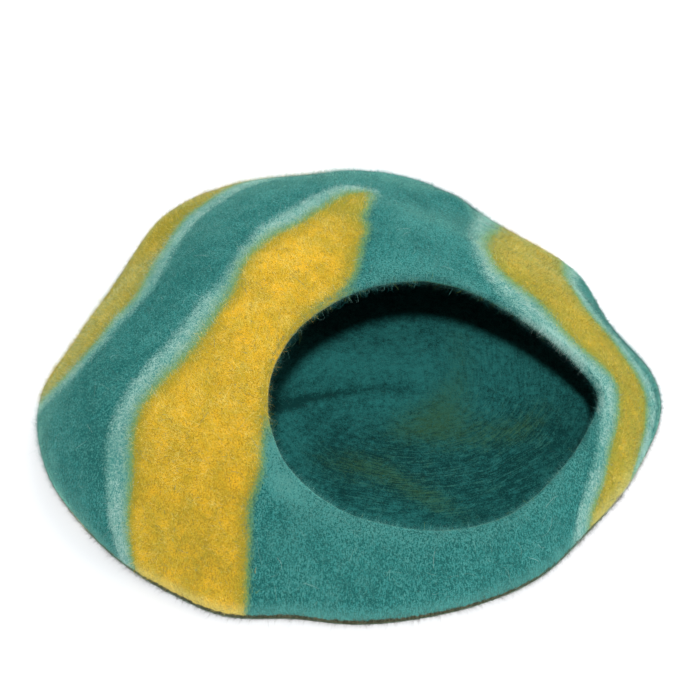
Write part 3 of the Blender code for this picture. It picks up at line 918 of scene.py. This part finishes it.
class WoolNodes(Nodes):
    """The felt's colours and relief, from noises of several sizes and what is known at each point."""

    def __init__(self, tree, look):
        super().__init__(tree)
        self.look = look
        self.place = self.put("ShaderNodeTexCoord", out=OBJECT)
        self.height = self.put("ShaderNodeSeparateXYZ", self.place, out=HEIGHT_PART)
        self.grains = {name: self.noise(self.place, *row) for name, row in GRAINS.items()}
        self.grains["fine"] = self.group(streak_group(), Vector=self.place, Scale=STREAK_SCALE)
        self.pale = self.known("pale")
        self.outside = self.step(self.known("outside"), 0.15, 0.75)
        self.tone = self.swings(fine=1.30, mottle=0.70, grit=1.60, cloud=0.50)
        # Painted light and shade: the painted light bells lighten or darken the tone of every wool, and
        # bring up its whitish flecks.
        self.tone = self.add(self.tone, self.times(self.pale, 0.30))
        self.flecks = self.swings(fine=0.7, curds=1.4, grit=1.4)
        self.flecks = self.add(self.flecks, self.times(self.pale, 0.45))
        drawn = self.put("ShaderNodeMapping", self.place, None, RIPPLE_TURN, RIPPLE_STRETCH)
        self.ripple = self.swing(self.noise(drawn, *RIPPLE_GRAIN), self.times(self.known("rippled"), 1.1))
        combed = self.add(self.times(self.known("combed"), 0.70), 0.12)
        self.comb = self.swing(self.group(swirl_group(), Vector=self.place), combed)

    def swings(self, **sizes):
        """Sum of the named noises, each moved to lie about 0 and times its size."""
        return self.add(*(self.swing(self.grains[name], size) for name, size in sizes.items()))

    def heights(self, **sizes):
        """Sum of the named noises, each times its size."""
        return self.add(*(self.times(self.grains[name], size) for name, size in sizes.items()))

    def teal_wool(self):
        """Teal with darker and paler fibres, and a painted highlight toward its palest fibres where the wool
        is painted lighter.
        """
        look = self.look
        teal = self.lay(look.teal_deep, look.teal_light, self.tone, -0.30, 0.34)
        specks = self.swings(fine=0.6, grit=1.2, cloud=0.6)
        teal = self.lay(teal, look.teal_pale, specks, 0.05, 0.40, 0.55)
        # Painted highlight: where the wool is painted lighter, the teal turns toward its palest fibres.
        texture = self.add(self.swings(fine=0.9, grit=1.2), 0.43)
        glow = self.times(self.maths("MAXIMUM", self.pale, 0.0), texture)
        return self.blend(glow, teal, look.teal_pale)

    def aqua_wool(self, mustard_depth):
        """Aqua with whitish flecks, greenish toward the mustard."""
        look = self.look
        aqua = self.lay(look.aqua_deep, look.aqua, self.tone, -0.35, 0.20)
        aqua = self.lay(aqua, look.frost, self.flecks, -0.12, 0.35, 0.66)
        greenish = self.add(mustard_depth, self.swings(grit=0.008, curds=0.010))
        return self.lay(aqua, look.lichen, greenish, -0.0110, -0.0020, 0.50)

    def mustard_wool(self, mustard_depth):
        """Mustard with orange and straw fibres, and green ones in patches and along its edges."""
        look, moss = self.look, self.known("moss")
        gold = self.lay(look.mustard_deep, look.mustard, self.tone, -0.32, 0.22)
        orange = self.swings(orange=1.0, grit=2.0, fine=1.1, cloud=0.4)
        gold = self.lay(gold, look.amber, orange, -0.22, 0.32, 0.85)
        gold = self.lay(gold, look.straw, self.flecks, 0.05, 0.55, 0.40)
        near_edge = self.times(self.rest(self.step(mustard_depth, 0.0, 0.0100)), 0.44)
        patches = self.swings(orange=-0.5, mottle=0.40, grit=1.8, fine=1.0)
        patches = self.add(near_edge, patches, self.times(moss, 0.55))
        gold = self.lay(gold, look.moss, patches, -0.10, 0.70, 0.80)
        return self.blend(self.times(moss, 0.30), gold, look.lichen)

    def outer_wool(self):
        """The three wools with edges that wander by a few millimetres, with a painted highlight at the lip
        and just over the underside, which is olive below the widest line of the edge."""
        look = self.look
        wander = self.swings(mottle=0.0030, fine=0.0036, cloud=0.0024)
        mustard_depth = self.add(self.known("mustard_depth"), wander)
        aqua_depth = self.add(self.known("aqua_depth"), wander)
        in_mustard = self.step(mustard_depth, -0.0022, 0.0022)
        wool = self.lay(self.teal_wool(), self.aqua_wool(mustard_depth), aqua_depth, -0.0055, 0.0045)
        wool = self.lay(wool, look.lichen, mustard_depth, -0.0060, -0.0005, 0.80)
        wool = self.blend(in_mustard, wool, self.mustard_wool(mustard_depth))

        # Painted highlight: near the lip, off the mustard, and just over the underside the wool turns toward
        # palest teal or straw.
        rim_painted_light = self.times(self.rest(self.step(self.height, *RIM_PAINTED_LIGHT)), 0.40)
        texture = self.add(self.swings(fine=0.9, grit=1.2), 0.18)
        near_lip = self.times(self.known("near_lip"), self.times(self.rest(in_mustard), texture))
        painted_highlight_wool = self.blend(self.times(in_mustard, 0.60), look.teal_pale, look.straw)
        wool = self.blend(self.add(rim_painted_light, near_lip), wool, painted_highlight_wool)

        olive = self.lay(look.olive_deep, look.olive, self.tone, -0.3, 0.3)
        # Painted highlight: the underside's edge turns paler where the wool is painted lighter.
        olive = self.blend(self.times(self.pale, 0.65), olive, look.fawn)
        brim = self.add(self.height, self.swings(mottle=0.005))
        return self.lay(olive, wool, brim, 0.0080, 0.0098)

    def inner_wool(self):
        """Darker teal with painted shade and painted light, in part its own tone, strands of combed fibres,
        and an olive haze.
        """
        look = self.look
        grain = self.swings(mottle=0.90, fine=1.00, cloud=0.60, grit=0.45, curds=0.9)
        # Painted shade along the crease and painted light on the swell and other places, in part the wool's
        # own tone, move the tone inside.
        tone = self.add(self.times(self.known("inside_tone"), 0.50), self.comb, self.ripple, grain)
        wool = self.lay(look.inside_deep, look.inside_light, tone, -0.70, 0.85)
        strands = self.add(self.comb, self.times(self.ripple, 0.7), self.swings(fine=0.25))
        wool = self.lay(wool, look.inside_pale, strands, 0.10, 0.42, 0.50)
        grain = self.swings(cloud=0.6, fine=0.9, grit=0.8)
        haze = self.add(self.known("olive_haze"), self.times(self.comb, 1.5), grain)
        return self.lay(wool, look.inside_olive, haze, 0.12, 1.30, 0.58)

    def relief(self):
        """Height of the felt's grain, with ridges of combed and rippled fibres inside."""
        ridges = self.add(self.times(self.comb, 1.5), self.ripple, self.heights(mottle=0.7, fine=0.4))
        return self.mix(self.outside, ridges, self.heights(fine=0.6, mottle=0.8))


SOCKETS = {
    "colour": "Base Color",
    "rough": "Roughness",
    "diffuse_rough": "Diffuse Roughness",
    "gloss": "Specular IOR Level",
    "sheen": "Sheen Weight",
    "sheen_rough": "Sheen Roughness",
    "sheen_tint": "Sheen Tint",
}


def new_material(name, **constants):
    """A material and the inputs of its surface, with constants on the sockets that SOCKETS names."""
    material = bpy.data.materials.new(name)
    material.use_nodes = True
    surface = material.node_tree.nodes["Principled BSDF"]
    for socket, value in constants.items():
        surface.inputs[SOCKETS[socket]].default_value = value
    return material, surface.inputs


def felt_material(look):
    """Wet-felted wool: teal, mustard and aqua dyed fibres that run into each other at the stripes'
    edges, olive underneath, and darker wool with swirled fibres inside."""
    sheen = {"sheen": look.sheen, "sheen_rough": 0.25, "sheen_tint": SHEEN_TINT}
    material, surface = new_material("wool_felt_dyed", diffuse_rough=0.9, gloss=0.0, **sheen)
    wool = WoolNodes(material.node_tree, look)
    wool.give(surface["Base Color"], wool.blend(wool.outside, wool.inner_wool(), wool.outer_wool()))
    rough = wool.put("ShaderNodeMapRange", wool.grains["fine"], 0.0, 1.0, 0.82, 1.0)
    wool.give(surface["Roughness"], rough)
    wool.give(surface["Normal"], wool.put("ShaderNodeBump", *BUMP, None, wool.relief()))
    return material


def dye_materials(look):
    """One matt material for each dye of a fibre, with the soft sheen of wool, made on first use."""
    made = []
    for name in DYE:
        material = bpy.data.materials.get(f"{name}_fibre")
        if material is None:
            colour = (*getattr(look, name), 1.0)
            material, _ = new_material(f"{name}_fibre", colour=colour, rough=0.85, gloss=0.0, sheen=0.08)
        made.append(material)
    return made


# ---------------------------------------------------------------- fibres

LOWEST_FIBRE = 0.0005  # fibres stay this far over the floor (m)
ROOT_DEPTH = 0.0003  # and start this far inside the felt (m)
HAIR_STEPS = 9
HAIR_TURN = 0.9  # how far a stray hair turns from its root to its tip (radians)
HAIR_LIFT = (0.0004, 0.0012)  # least and most of a stray hair's arch over the felt (m)
HAIR_FALL = 1.5  # how fast it bends down with the dome (1/m)
CURL_STEPS = 12
CURL_WIDTH = 0.00008
CURL_LEAN = 0.7  # how far a curl leans out of the mouth
CURL_SPREAD = 0.4  # and how far to any side
CURL_DRIFT = 0.25  # how far it drifts out of its plane as it turns
CURL_DYES = ["teal", "teal_pale", "aqua", "lichen"]

# Stray curls of the lip. Columns: angle about the mouth and half width (degrees), length, radius (m).
CURLS = (
    (122, 14, 0.018, 0.0032),
    (135, 12, 0.013, 0.0028),
    (100, 16, 0.012, 0.0030),
    (155, 14, 0.010, 0.0036),
    (178, 14, 0.009, 0.0040),
    (60, 30, 0.007, 0.0035),
    (290, 60, 0.006, 0.0035),
)

# How fibres lie: the line that their directions are counted from, how much a slow pattern turns them
# outside (radians), and how much each turns by itself outside and inside, bends, and differs in length.
GRAIN_AXIS = (0.31, 0.17, 0.94)
GRAIN_TURNS = ((2.6, 0.030, 21),)
OUTER_TURN, INNER_TURN, BEND, LENGTH_SPREAD = 0.8, 0.45, 0.35, 0.35
NARROWING, TIPPING = 0.6, 0.4  # how much a fibre's width shrinks and tips off the felt by chance

# Random patterns of the dyes, as for the relief: how the stripes' edges wander (m), how neighbours
# share a shade, and where green fibres gather.
EDGE_WANDER = ((0.0008, 0.008, 11), (0.0009, 0.022, 12))
CLUMPS = ((0.18, 0.0035, 15), (0.22, 0.009, 16))
GREEN_PATCHES = ((0.7, 0.007, 13), (0.6, 0.003, 14))
STRAY = 0.0018  # how far a single fibre strays over an edge (m)


def new_piece(name, points, faces, materials, slots=None):
    """A mesh piece at the origin that rides on the part's one body, from arrays of points and faces."""
    mesh = bpy.data.meshes.new(name)
    mesh.from_pydata(points, [], faces)
    for material in materials:
        mesh.materials.append(material)
    mesh.polygons.foreach_set("use_smooth", np.full(len(mesh.polygons), True))
    if slots is not None:
        mesh.polygons.foreach_set("material_index", slots.astype(np.int32))
    mesh.update()
    piece = bpy.data.objects.new(name, mesh)
    bpy.context.scene.collection.objects.link(piece)
    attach(piece, "root")
    return piece


def pick(chance, *rows):
    """A dye by chance: the first row whose share the chance is under. The last row takes the rest."""
    *shares, (_, last) = rows
    return np.select([chance < share for share, _ in shares], [DYE[dye] for _, dye in shares], DYE[last])


def dye_of(known, place, rng, pale):
    """Which dye each fibre has: the stripe it lies in, with edges that wander, and a shade that its
    neighbours share in part, moved by painted light and shade. The last argument moves every shade
    toward the light end: a painted highlight."""
    count = len(place)
    chance, other, fleck = rng.random((3, count))
    wander = noises(place, EDGE_WANDER) + rng.normal(0, STRAY, count)
    mustard, aqua = known["mustard_depth"] + wander, known["aqua_depth"] + wander
    # Painted light and shade of the fibres outside: the painted light bells and the painted highlights over
    # the underside and at the lip shift each fibre's shade.
    rim_painted_light = 1 - smooth(*RIM_PAINTED_LIGHT, place[:, 2])
    light = 0.30 * (known["pale"] + rim_painted_light) + 0.20 * known["near_lip"]
    raw = 0.55 * other + noises(place, CLUMPS) + np.where(known["outside"] > 0.5, light, 0)
    shade = raw.argsort().argsort() / count + pale
    teal = pick(shade, (0.42, "teal_deep"), (0.88, "teal"), (1, "teal_pale"))
    band = pick(shade, (0.32, "aqua_deep"), (0.80, "aqua"), (1, "frost"))
    gold = pick(shade, (0.24, "mustard_deep"), (0.44, "amber"), (0.86, "mustard"), (1, "straw"))
    olive = pick(shade, (0.6, "olive_deep"), (1, "olive"))
    patch = noises(place, GREEN_PATCHES)
    green = 0.14 + 0.22 * patch + 0.40 * np.exp(-mustard.clip(0) / 0.005) + 0.60 * known["moss"]
    gold = np.where(chance < green.clip(0.02, 0.75), DYE["moss"], gold)
    gold = np.where(fleck < 0.040, DYE["teal"], gold)
    # Painted shade and light inside move the shade of the fibres there too.
    shade = shade + 0.35 * known["inside_tone"]
    inner = pick(shade, (0.10, "inside_deep"), (0.50, "inside"), (0.93, "inside_light"), (1, "inside_pale"))
    inner = np.where(chance > 1 - 0.3 * known["olive_haze"], DYE["inside_olive"], inner)
    dye = np.where(aqua > 0, band, teal)
    dye = np.where((mustard > -0.004) & (chance < 0.45), DYE["lichen"], dye)
    dye = np.where(mustard > 0, gold, dye)
    on_lip = (known["outside"] < 0.98) & (mustard > 0)
    dye = np.where(on_lip, pick(chance, (0.5, "moss"), (0.8, "teal"), (1, "straw")), dye)
    dye = np.where(place[:, 2] + 0.0010 * patch < 0.0096, olive, dye)
    return np.where(known["outside"] < 0.5, inner, dye)


def ribbons(line, across):
    """Points and faces of ribbons: each follows a line of points, as wide as across says at its
    start, and ends in a single point."""
    count, steps = line.shape[:2]
    left, right = line[:, :-1] - across[:, None], line[:, :-1] + across[:, None]
    points = np.concatenate([np.stack([left, right], 2).reshape(count, -1, 3), line[:, -1:]], 1)
    each = points.shape[1]
    base = np.arange(count)[:, None] * each
    quads = [base + (2 * k, 2 * k + 1, 2 * k + 3, 2 * k + 2) for k in range(steps - 2)]
    tips = base + (each - 3, each - 2, each - 1)
    return points.reshape(-1, 3), np.stack(quads, 1).reshape(-1, 4), tips


def slivers(line, across):
    """Points and faces of slivers: each is a thin four-cornered leaf along three points, widest at the
    middle one."""
    points = np.stack([line[:, 0], line[:, 1] - across, line[:, 2], line[:, 1] + across], 1)
    quads = np.arange(len(line))[:, None] * 4 + np.arange(4)
    return points.reshape(-1, 3), quads, quads[:0, :3]


def spikes(line, across):
    """Points and faces of spikes: each is one thin triangle from its root to its tip."""
    points = np.stack([line[:, 0] - across, line[:, 0] + across, line[:, -1]], 1)
    tips = np.arange(len(line))[:, None] * 3 + np.arange(3)
    return points.reshape(-1, 3), tips[:0], tips


def fibre_mesh(name, made, dye, materials):
    """A piece of the points, quads and tips that a shape made, with each fibre in its own dye."""
    points, quads, tips = made
    slots = np.concatenate([np.repeat(dye, len(quads) // len(dye)), dye[: len(tips)]])
    return new_piece(name, points, quads.tolist() + tips.tolist(), materials, slots)


def lying(rng, count):
    """Lift and fall of fibres that run along the felt and dip back into it."""
    lift = rng.uniform(0.15, 0.50, count)
    return lift, lift * rng.uniform(0.9, 1.4, count)


def standing(rng, count):
    """Lift and fall of fibres that stand off the felt and droop a little."""
    return rng.uniform(0.30, 2.0, count), rng.uniform(0.0, 0.45, count)


def fibre_piece(name, seed, count, density, length, width, rise, shape, pale, materials):
    """A patch of fibres that start in the felt. Their directions follow a slow grain outside and run
    round one place inside, and each bends sideways and lifts by its own amounts: at a share s of its
    length it is s ahead, bend * s * s aside, and lift * s - fall * s * s off the felt."""
    rng = np.random.default_rng(seed)
    place, normal, known = felt().roots(count, density, rng)
    turn = noises(place, GRAIN_TURNS) + rng.normal(0, OUTER_TURN, count)
    inside = known["outside"] < 0.5
    round_middle = np.cross(np.array(SWIRL_MIDDLE) - place, normal)
    level = np.where(inside[:, None], round_middle, np.cross(normal, GRAIN_AXIS))
    turn = np.where(inside, rng.normal(0, INNER_TURN, count), turn)
    level = unit(level - (level * normal).sum(-1, keepdims=True) * normal)
    aim = level * np.cos(turn)[:, None] + np.cross(normal, level) * np.sin(turn)[:, None]
    side = np.cross(normal, aim)
    long = (length * rng.lognormal(0, LENGTH_SPREAD, count))[:, None]
    bend = rng.normal(0, BEND, (count, 1))
    lift, fall = (v[:, None] for v in rise(rng, count))
    line = [
        place + long * (aim * s + side * bend * s * s + normal * (lift * s - fall * s * s))
        for s in (0.0, 0.5, 1.0)
    ]
    line[0] -= ROOT_DEPTH * normal
    line = np.stack(line, 1)
    line[..., 2] = np.maximum(line[..., 2], LOWEST_FIBRE)
    across = side * np.cos(NARROWING * rng.normal(size=(count, 1)))
    across += normal * TIPPING * rng.normal(size=(count, 1))
    across *= (width * rng.uniform(0.6, 1.3, (count, 1))) / 2
    return fibre_mesh(name, shape(line, across), dye_of(known, place, rng, pale), materials)


def hair_piece(name, seed, count, density, length, width, materials):
    """Stray fibres that lie on the felt: each follows an arc of its own, lifts a little off the felt
    and comes back to it. On mustard they are straw or green, elsewhere of the paler dyes."""
    rng = np.random.default_rng(seed)
    place, normal, known = felt().roots(count, density, rng)
    aim = unit(np.cross(normal, rng.normal(size=(count, 3))))
    side = np.cross(normal, aim)
    long = length * rng.lognormal(0, LENGTH_SPREAD, (count, 1, 1))
    turn = rng.normal(0, HAIR_TURN, (count, 1, 1)) + TINY
    share = np.linspace(0, 1, HAIR_STEPS)[None, :, None]
    arc = np.sin(turn * share) * aim[:, None] + (1 - np.cos(turn * share)) * side[:, None]
    line = place[:, None] + long / turn * arc
    arch = rng.uniform(*HAIR_LIFT, (count, 1, 1)) * np.sin(np.pi * share)
    line += normal[:, None] * (arch - HAIR_FALL * long**2 * share**2)
    line[..., 2] = np.maximum(line[..., 2], LOWEST_FIBRE)
    made = ribbons(line, side * width * rng.uniform(0.6, 1.2, (count, 1)) / 2)
    chance = rng.random(count)
    dye = pick(chance, (0.4, "teal_pale"), (0.8, "aqua"), (1, "frost"))
    dye = np.where(known["mustard_depth"] > 0, pick(chance, (0.4, "straw"), (0.8, "moss"), (1, "teal")), dye)
    dye = np.where(known["outside"] < 0.5, pick(chance, (0.7, "inside_light"), (1, "teal")), dye)
    return fibre_mesh(name, made, dye, materials)


def curl_piece(name, seed, each, materials):
    """Stray fibres that curl out of the lip: each is an arc of a circle that may close to a loop, in
    a plane of its own, and drifts a little out of that plane."""
    rng = np.random.default_rng(seed)
    lines, sides, dyes = [], [], []
    on_lip = np.flatnonzero(np.abs(felt().known["outside"][:-2] - 0.6) < 0.3)
    angle = felt().mouth_angle(felt().points[on_lip])
    for middle, half_width, length, radius in CURLS:
        near = on_lip[np.abs((angle - middle + 180) % 360 - 180) < half_width]
        for _ in range(each):
            root = felt().points[rng.choice(near)]
            out = unit(felt().mouth_middle() - root)
            out = unit(out + CURL_LEAN * MOUTH_AXIS + rng.normal(0, CURL_SPREAD, 3))
            side = unit(np.cross(out, rng.normal(size=3)))
            drift = np.cross(out, side)
            bow = radius * rng.uniform(0.6, 1.6)
            turn = np.linspace(0, length * rng.uniform(0.5, 1.3) / bow, CURL_STEPS)[:, None]
            arc = np.sin(turn) * out + (1 - np.cos(turn)) * side
            lines.append(root + bow * (arc + CURL_DRIFT * turn * drift))
            sides.append(drift * CURL_WIDTH / 2)
            dyes.append(DYE[rng.choice(CURL_DYES)])
    return fibre_mesh(name, ribbons(np.array(lines), np.array(sides)), np.array(dyes), materials)


# ---------------------------------------------------------------- properties


def metres(name, use, default, digits=4):
    """A length, shown with this many digits after the point."""
    return FloatProperty(name=name, description=use, default=default, unit="LENGTH", precision=digits)


def number(name, use, default, most):
    """A count of at least one."""
    return IntProperty(name=name, description=use, default=default, min=1, max=most)


def power(name, use, default):
    """The power of a light."""
    return FloatProperty(name=name, description=use, default=default, min=0, unit="POWER")


def fraction(name, use, default):
    """A value from 0 to 1."""
    return FloatProperty(name=name, description=use, default=default, min=0, max=1)


def wool_colour(name, use, default):
    """A colour of wool."""
    label = name.replace("_", " ").capitalize()
    return FloatVectorProperty(name=label, description=use, default=default, min=0, max=1, subtype="COLOR")


class FeltLook(bpy.types.PropertyGroup):
    """Colours of the dyed wool, one for each row of the dyes, and its sheen."""

    sheen: fraction("Sheen", "Soft glow of the fuzz at a low angle", 0.36)


FeltLook.__annotations__.update({row[0]: wool_colour(*row) for row in FIBRE_DYES + FELT_DYES})


class FuzzSizes(bpy.types.PropertyGroup):
    """Sizes and numbers of the loose fibres."""

    lying_patches: number("Lying patches", "Pieces of lying fibres", 2, 4)
    lying_count: number("Lying fibres", "Fibres in each patch", 97000, 99000)
    lying_length: metres("Lying length", "Length of a lying fibre", 0.0036)
    standing_patches: number("Standing patches", "Pieces of fuzz", 2, 4)
    standing_count: number("Standing fibres", "Fibres in each piece of fuzz", 155000, 199000)
    standing_length: metres("Standing length", "Length of a standing fibre", 0.0024)
    lip_count: number("Lip fibres", "Short fibres of the lip", 12000, 39900)
    lip_length: metres("Lip length", "Length of a fibre at the lip", 0.0026)
    thickness: metres("Fibre width", "Width of a lying fibre", 0.00018, 5)
    fine_thickness: metres("Fuzz width", "Width of a standing fibre", 0.00011, 5)
    hairs: number("Stray hairs", "Long fibres that lie on the felt", 1600, 9000)
    hair_length: metres("Hair length", "Length of a stray hair", 0.011)
    curls: number("Curls", "Stray curls at each place of the lip", 26, 100)


class StageSizes(bpy.types.PropertyGroup):
    """Camera and light."""

    elevation: FloatProperty(
        name="Camera elevation",
        description="How far the camera looks down",
        default=np.radians(40),
        subtype="ANGLE",
    )
    distance: metres("Camera distance", "Camera to the point it looks at", 1.2)
    key_power: power("Key light", "Power of the light over the camera", 85.0)
    top_power: power("Top light", "Power of the soft light behind and above", 18.0)
    back_power: power("Back lights", "Power of each low light behind", 15.0)
    side_power: power("Side light", "Power of the soft light at the right", 10.0)


# ---------------------------------------------------------------- operators

LENS, SENSOR = 80.0, 36.0  # millimetres
LOOKED_AT = (-0.001, 0.0114, 0.052)
LIT = (0.0, 0.0, 0.06)
FLOOR_REACH, FLOOR_CORNERS = 0.8, 96
FLOOR_COLOUR = (0.69, 0.70, 0.715, 1)
FILL = 0.40  # strength of the white world as a light; the camera sees it at 1

# Lights, each a disc that looks at LIT. Columns: name, width, distance (m), azimuth (0 is -Y, 90 is
# +X) and elevation (degrees), the property that holds its power.
LIGHTS = (
    ("key_light", 0.16, 2.6, -0.3, 47.45, "key_power"),
    ("top_light", 1.2, 2.2, 145, 62, "top_power"),
    ("back_light_left", 1.6, 2.2, -150, 16, "back_power"),
    ("back_light_right", 1.6, 2.2, 150, 16, "back_power"),
    ("side_light", 1.0, 2.0, 62, 36, "side_power"),
)


class CAVE_OT_shell(bpy.types.Operator):
    """Felted shell with its turned edge, lip, creases and stripes."""

    bl_idname = "cave.shell"
    bl_label = "Felt shell"

    def execute(self, context):
        shell = felt()
        faces = shell.quads.tolist() + shell.fans.tolist()
        piece = new_piece("felt_shell", shell.points, faces, [felt_material(context.scene.cave_look)])
        for name, value in shell.known.items():
            layer = piece.data.attributes.new(name, "FLOAT", "POINT")
            layer.data.foreach_set("value", value.astype(np.float32))
        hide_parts("felt_cave")
        return {"FINISHED"}


class CAVE_OT_fuzz(bpy.types.Operator):
    """Fibres that lie along the felt, shorter ones that stand off it and off the lip, and stray hairs."""

    bl_idname = "cave.fuzz"
    bl_label = "Fibres and fuzz"

    def execute(self, context):
        sizes = context.scene.cave_fuzz
        materials = dye_materials(context.scene.cave_look)
        outside = felt().known["outside"]
        under = (felt().points[:, 2] < 0.002) & (outside > 0.5)
        on_lip = (outside > 0.02) & (outside < 0.98)

        def density(inside_share, under_share):
            """1 outside, and these shares of it inside and on the underside."""
            return np.where(outside > 0.5, 1.0, inside_share) * np.where(under, under_share, 1.0)

        for k in range(sizes.lying_patches):
            form = (density(0.35, 0.02), sizes.lying_length, sizes.thickness, lying, slivers, 0.0)
            fibre_piece(f"lying_fibres_{k + 1}", 100 + k, sizes.lying_count, *form, materials)
        for k in range(sizes.standing_patches):
            # Painted highlight: the last value moves the standing fuzz toward the palest dyes, standing in
            # for light through thin fibres.
            form = (density(0.10, 0.0), sizes.standing_length, sizes.fine_thickness, standing, spikes, 0.55)
            fibre_piece(f"standing_fuzz_{k + 1}", 200 + k, sizes.standing_count, *form, materials)
        # Painted highlight: the last value moves the lip fuzz a little toward the paler dyes.
        form = (on_lip * 1.0, sizes.lip_length, sizes.fine_thickness * 0.7, standing, ribbons, 0.1)
        fibre_piece("lip_fuzz", 300, sizes.lip_count, *form, materials)
        form = (np.where(on_lip, 0.0, density(0.9, 0.0)), sizes.hair_length, sizes.fine_thickness * 1.3)
        hair_piece("stray_hairs", 500, sizes.hairs, *form, materials)
        return {"FINISHED"}


class CAVE_OT_curls(bpy.types.Operator):
    """Stray curls that hang out of the lip of the mouth."""

    bl_idname = "cave.curls"
    bl_label = "Stray curls"

    def execute(self, context):
        curl_piece("stray_curls", 400, context.scene.cave_fuzz.curls, dye_materials(context.scene.cave_look))
        return {"FINISHED"}


class CAVE_OT_stage(bpy.types.Operator):
    """Pale floor, soft studio lights and the camera."""

    bl_idname = "cave.stage"
    bl_label = "Stage"

    def execute(self, context):
        scene, sizes = context.scene, context.scene.cave_stage
        data = bpy.data.cameras.new("camera")
        data.lens, data.sensor_width = LENS, SENSOR
        scene.camera = self.aimed(scene, data, LOOKED_AT, 0, np.degrees(sizes.elevation), sizes.distance)
        self.floor(scene)
        for name, size, distance, azimuth, elevation, power_name in LIGHTS:
            data = bpy.data.lights.new(name, "AREA")
            data.shape, data.size, data.energy = "DISK", size, getattr(sizes, power_name)
            self.aimed(scene, data, LIT, azimuth, elevation, distance)
        self.world(scene)
        scene.view_settings.view_transform = "Standard"
        return {"FINISHED"}

    def aimed(self, scene, data, target, azimuth, elevation, distance):
        """A camera or light that looks at the target from this azimuth and elevation (degrees)."""
        a, e = np.radians(azimuth), np.radians(elevation)
        way = Vector((np.sin(a) * np.cos(e), -np.cos(a) * np.cos(e), np.sin(e)))
        item = bpy.data.objects.new(data.name, data)
        scene.collection.objects.link(item)
        item.location = Vector(target) + way * distance
        item.rotation_euler = way.to_track_quat("Z", "Y").to_euler()
        return item

    def floor(self, scene):
        """A light grey disc that the cave stands on."""
        turn = np.linspace(0, 2 * np.pi, FLOOR_CORNERS, endpoint=False)
        ring = np.stack([np.cos(turn), np.sin(turn), np.zeros(FLOOR_CORNERS)], -1) * FLOOR_REACH
        mesh = bpy.data.meshes.new("floor")
        mesh.from_pydata(ring, [], [list(range(FLOOR_CORNERS))])
        mesh.materials.append(new_material("pale_floor", colour=FLOOR_COLOUR, rough=0.9, gloss=0.1)[0])
        item = bpy.data.objects.new("floor", mesh)
        scene.collection.objects.link(item)

    def world(self, scene):
        """White to the camera, and a weak even fill for the light."""
        scene.world = bpy.data.worlds.new("studio")
        scene.world.use_nodes = True
        nodes = Nodes(scene.world.node_tree)
        back = nodes.tree.nodes["Background"]
        back.inputs["Color"].default_value = (1, 1, 1, 1)
        seen = nodes.put("ShaderNodeLightPath")
        nodes.give(back.inputs["Strength"], nodes.put("ShaderNodeMapRange", seen, 0.0, 1.0, FILL, 1.0))


class CAVE_PT_panel(bpy.types.Panel):
    """Lists what can be made, and the sizes and colours behind it."""

    bl_idname = "CAVE_PT_panel"
    bl_label = "Felt cave"
    bl_space_type = "VIEW_3D"
    bl_region_type = "UI"
    bl_category = "Felt cave"

    def draw(self, context):
        for operator in OPERATORS:
            self.layout.operator(operator.bl_idname)
        for group in (context.scene.cave_look, context.scene.cave_fuzz, context.scene.cave_stage):
            box = self.layout.box()
            for name in group.__annotations__:
                box.prop(group, name)


OPERATORS = (CAVE_OT_stage, CAVE_OT_shell, CAVE_OT_fuzz, CAVE_OT_curls)
CLASSES = (FeltLook, FuzzSizes, StageSizes, *OPERATORS, CAVE_PT_panel)


def register():
    """Adds the classes, and the properties to the scene."""
    for item in CLASSES:
        bpy.utils.register_class(item)
    bpy.types.Scene.cave_look = PointerProperty(type=FeltLook)
    bpy.types.Scene.cave_fuzz = PointerProperty(type=FuzzSizes)
    bpy.types.Scene.cave_stage = PointerProperty(type=StageSizes)


def unregister():
    """Takes them away again."""
    del bpy.types.Scene.cave_look, bpy.types.Scene.cave_fuzz, bpy.types.Scene.cave_stage
    for item in reversed(CLASSES):
        bpy.utils.unregister_class(item)


def main():
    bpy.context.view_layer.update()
    register()
    bpy.ops.cave.stage()
    bpy.ops.cave.shell()
    bpy.ops.cave.fuzz()
    bpy.ops.cave.curls()


if __name__ == "__main__":
    main()
